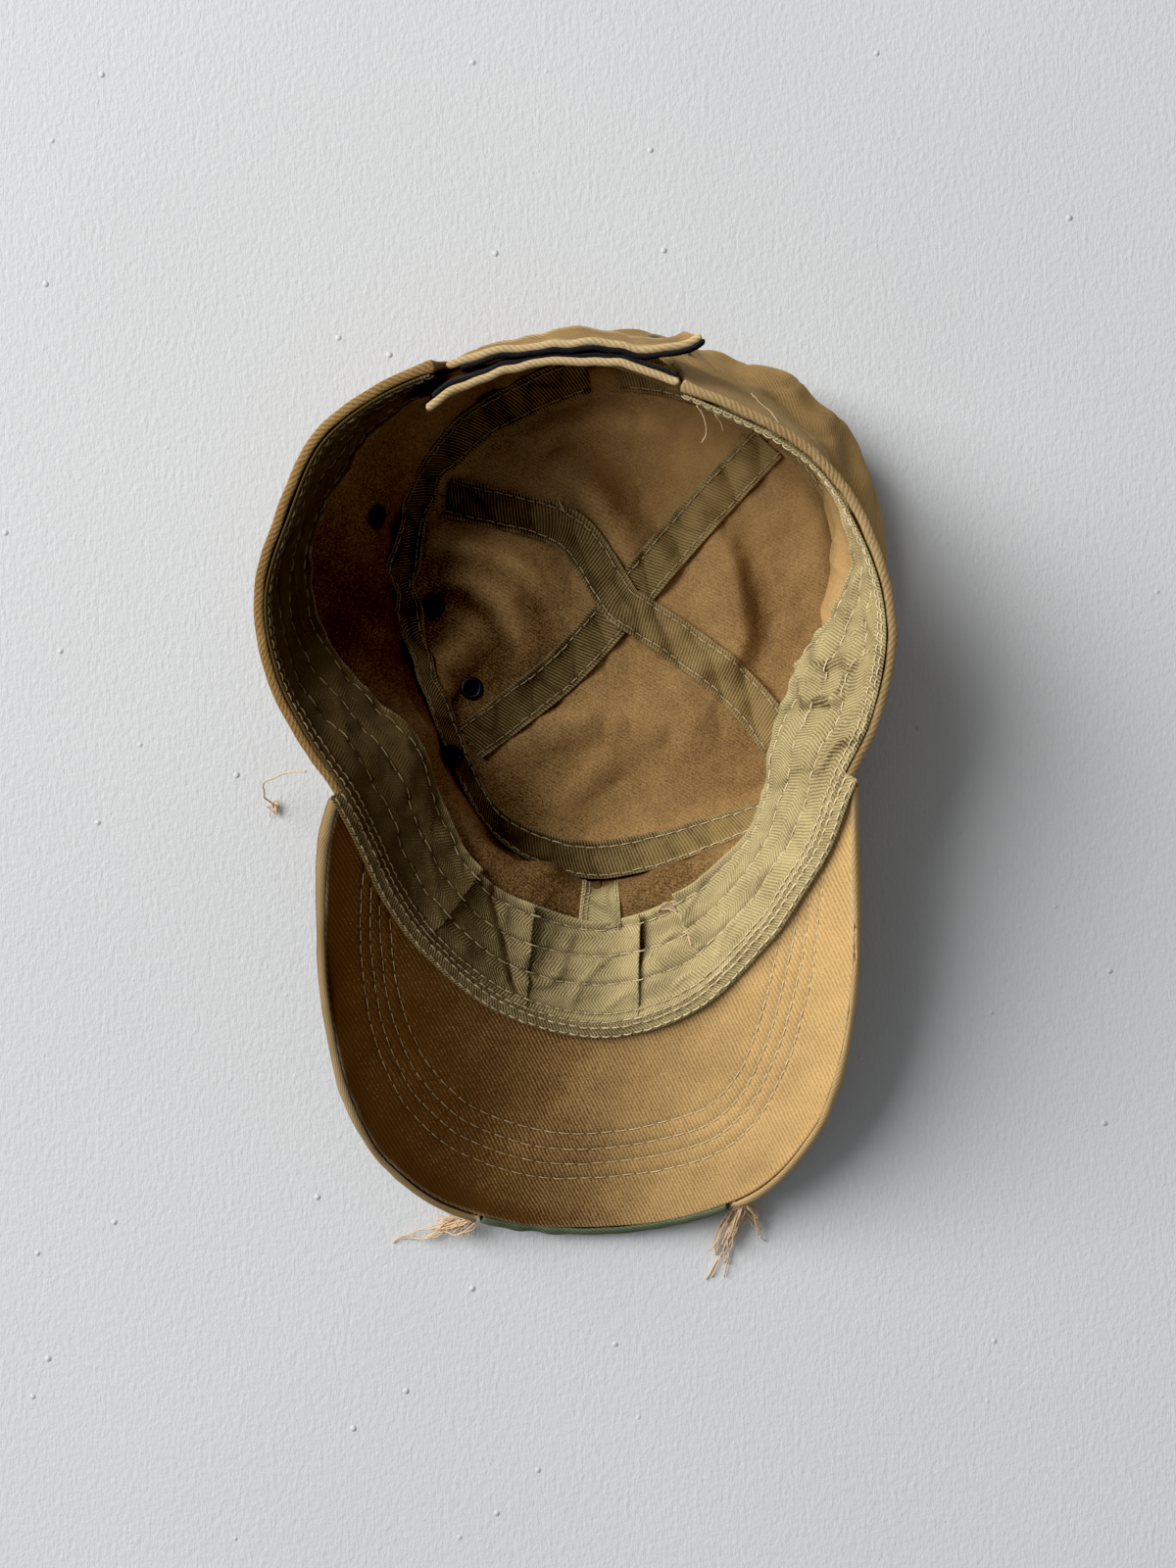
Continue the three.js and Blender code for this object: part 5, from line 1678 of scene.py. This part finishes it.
# No thread sinks below this height
THREAD_FLOOR = 0.35


def wavy(points, count, wave, seed):
    """A smooth line through a few points, with small random curls on the way."""
    places = np.linspace(0, 1, len(points))
    route = Curve([(share, *point) for share, point in zip(places, points)])
    line = route(np.linspace(0, 1, count))
    random = np.random.default_rng(seed)
    drift = np.cumsum(random.normal(size=(count, 3)), axis=0)
    drift = drift - np.linspace(0, 1, count)[:, None] * drift[-1]
    soft = [np.convolve(way, np.ones(7) / 7, mode="same") for way in drift.T]
    ends = np.minimum(np.arange(count), 4)[:, None] / 4
    line = line + np.stack(soft, axis=1) * wave * ends
    line[:, 2] = np.maximum(line[:, 2], THREAD_FLOOR)
    return line


def tuft(root, tips, each, radius, spread, wave, seed):
    """Threads that run from about one root to about some tips."""
    random = np.random.default_rng(seed)
    lines = []
    for tip in tips:
        for _ in range(each):
            start = np.array(root) + random.normal(size=3) * (spread * 0.35, spread * 0.35, 0.25)
            stop = np.array(tip) + random.normal(size=3) * (spread, spread, 0.4)
            stop = start + (stop - start) * random.uniform(0.55, 1.0)
            middle = (start + stop) / 2 + random.normal(size=3) * (spread * 0.8, spread * 0.8, 0.7)
            middle[2] -= 0.3 * abs(start[2] - stop[2])
            line = wavy([start, middle, stop], 26, wave, seed * 100 + len(lines))
            lines.append((line, radius * random.uniform(0.7, 1.15)))
    return lines


def strands(rows):
    """Single threads, each from its radius, wave, seed, number of points and places."""
    return [(wavy(places, count, wave, seed), thick) for thick, wave, seed, count, *places in rows]


# Where the peak's edge is frayed: name, share of the edge, seed, spread, the tips of the tuft, and
# its longest threads
FRAYS = [
    (
        "fray_left",
        0.408,
        3,
        1.5,
        [(-46, -138.5, 4), (-52, -141, 1), (-42, -139.5, 5), (-37, -138, 7), (-50, -136.5, 3)],
        [
            (0.24, 0.3, 5, 40, (-50, -138, 3), (-60.5, -142.5, 0.6)),
            (0.22, 0.35, 6, 40, (-49, -139, 3), (-58, -141, 0.7)),
        ],
    ),
    (
        "fray_right",
        0.632,
        4,
        1.3,
        [
            *((44, -139, 3), (40, -147, 0.8), (47, -136, 5)),
            *((53, -134, 8), (55, -139, 3), (42, -151, 0.6)),
        ],
        [
            (0.24, 0.3, 7, 44, (45, -141, 2), (37.5, -154, 0.6)),
            (0.24, 0.35, 8, 44, (43, -143, 2), (39, -153, 0.6)),
            (0.22, 0.3, 9, 36, (54, -134, 6), (56.5, -141.5, 1)),
        ],
    ),
]

# The thread that hangs from the rim on the left, and the tips of the knot at its end
HANGING = (
    *(0.28, 0.25, 10, 60),
    *((-77.5, 5, 71), (-83, 4.8, 66), (-92, 3.5, 45)),
    *((-99, 0.5, 20), (-101.5, -2.5, 6), (-98, -5, 1.5)),
)
KNOT = [(-96, -8.5, 1), (-97.5, -9, 0.8), (-95, -7, 1.2)]

# Thread ends inside the cap
THREAD_ENDS = [
    (0.16, 0.25, 12, 24, (30, 104, 83), (33, 99, 80), (31.5, 95, 76)),
    (0.14, 0.2, 13, 18, (35, 101.5, 83), (37.5, 98, 79)),
    (0.14, 0.3, 14, 30, (45, 108, 80), (50, 103, 79), (56.5, 95.5, 79)),
    (0.16, 0.2, 15, 18, (-8.5, 90, 5), (-7, 87, 5.5), (-6, 84.5, 4)),
    (0.3, 0.25, 16, 30, (22, -35, 38), (27.5, -37, 39.5), (29.5, -41, 39), (31, -46, 40)),
    (0.26, 0.25, 17, 24, (21, -36, 37), (24, -33.5, 39), (27, -36, 38.5)),
]


def make_threads():
    for name, share, seed, spread, tips, longest in FRAYS:
        root = peak_point(share, 0.4, -1.0)
        lines = tuft(root, tips, 8, 0.25, spread, 0.3, seed)
        lines += strands([(*row[:4], root, *row[4:]) for row in longest])
        keep(threads(name, lines, cream_thread), "peak_twill")
    hanging = strands([HANGING]) + tuft(HANGING[-1], KNOT, 3, 0.18, 0.8, 0.3, 11)
    keep(threads("loose_thread_left", hanging, cream_thread), "twill")
    keep(threads("small_threads", strands(THREAD_ENDS), cream_thread), "tape")


make_threads()

# Camera, floor and light

# The camera looks straight down. Its place is in millimetres, the floor's half side in metres
CAMERA_PLACE = (0.6, 1.6, 600)
LENS = 43.875
HALF_FLOOR = 3.0

# Lamps: name, heading and height in degrees, how far away, size and power
LAMPS = [
    ("window", 152, 40, 4.0, (3.4, 2.2), 226),
    ("ceiling", 145, 66, 3.2, (2.2, 2.2), 5),
]
ROOM_COLOUR = (0.97, 0.99, 1.0, 1)
ROOM_LIGHT = 0.18
BLACK_LEVEL = (0.008, 0.0066, 0.0035)


def hang_lamp(name, heading, height, away, size, power):
    """A soft rectangular lamp that looks at the cap."""
    data = bpy.data.lights.new(name, "AREA")
    data.shape, data.size, data.size_y = "RECTANGLE", *size
    data.energy = power
    lamp = show(name, data)
    turn, rise = math.radians(heading), math.radians(height)
    place = (math.cos(turn) * math.cos(rise), math.sin(turn) * math.cos(rise), math.sin(rise))
    lamp.location = [value * away for value in place]
    lamp.rotation_euler = (0, math.pi / 2 - rise, turn)


def hang_camera():
    data = bpy.data.cameras.new("camera")
    data.lens, data.sensor_width, data.sensor_fit = LENS, 36, "AUTO"
    data.clip_start, data.clip_end = 0.01, 20
    camera = show("camera", data)
    camera.location = [value * MM for value in CAMERA_PLACE]
    bpy.context.scene.camera = camera


def lay_floor():
    mesh = bpy.data.meshes.new("floor")
    corners = [(x * HALF_FLOOR, y * HALF_FLOOR, 0) for x, y in ((-1, -1), (1, -1), (1, 1), (-1, 1))]
    mesh.from_pydata(corners, [], [(0, 1, 2, 3)])
    mesh.materials.append(floor_finish())
    show("floor", mesh)


def light_room():
    world = bpy.data.worlds.new("room")
    world.use_nodes = True
    sky = world.node_tree.nodes["Background"]
    sky.inputs["Color"].default_value = ROOM_COLOUR
    sky.inputs["Strength"].default_value = ROOM_LIGHT
    bpy.context.scene.world = world


def set_tones():
    """The picture's darkest tones end in black, as a phone's picture has them."""
    settings = bpy.context.scene.view_settings
    settings.view_transform = "Standard"
    settings.use_curve_mapping = True
    settings.curve_mapping.black_level = BLACK_LEVEL
    settings.curve_mapping.update()


hang_camera()
lay_floor()
for lamp in LAMPS:
    hang_lamp(*lamp)
light_room()
set_tones()
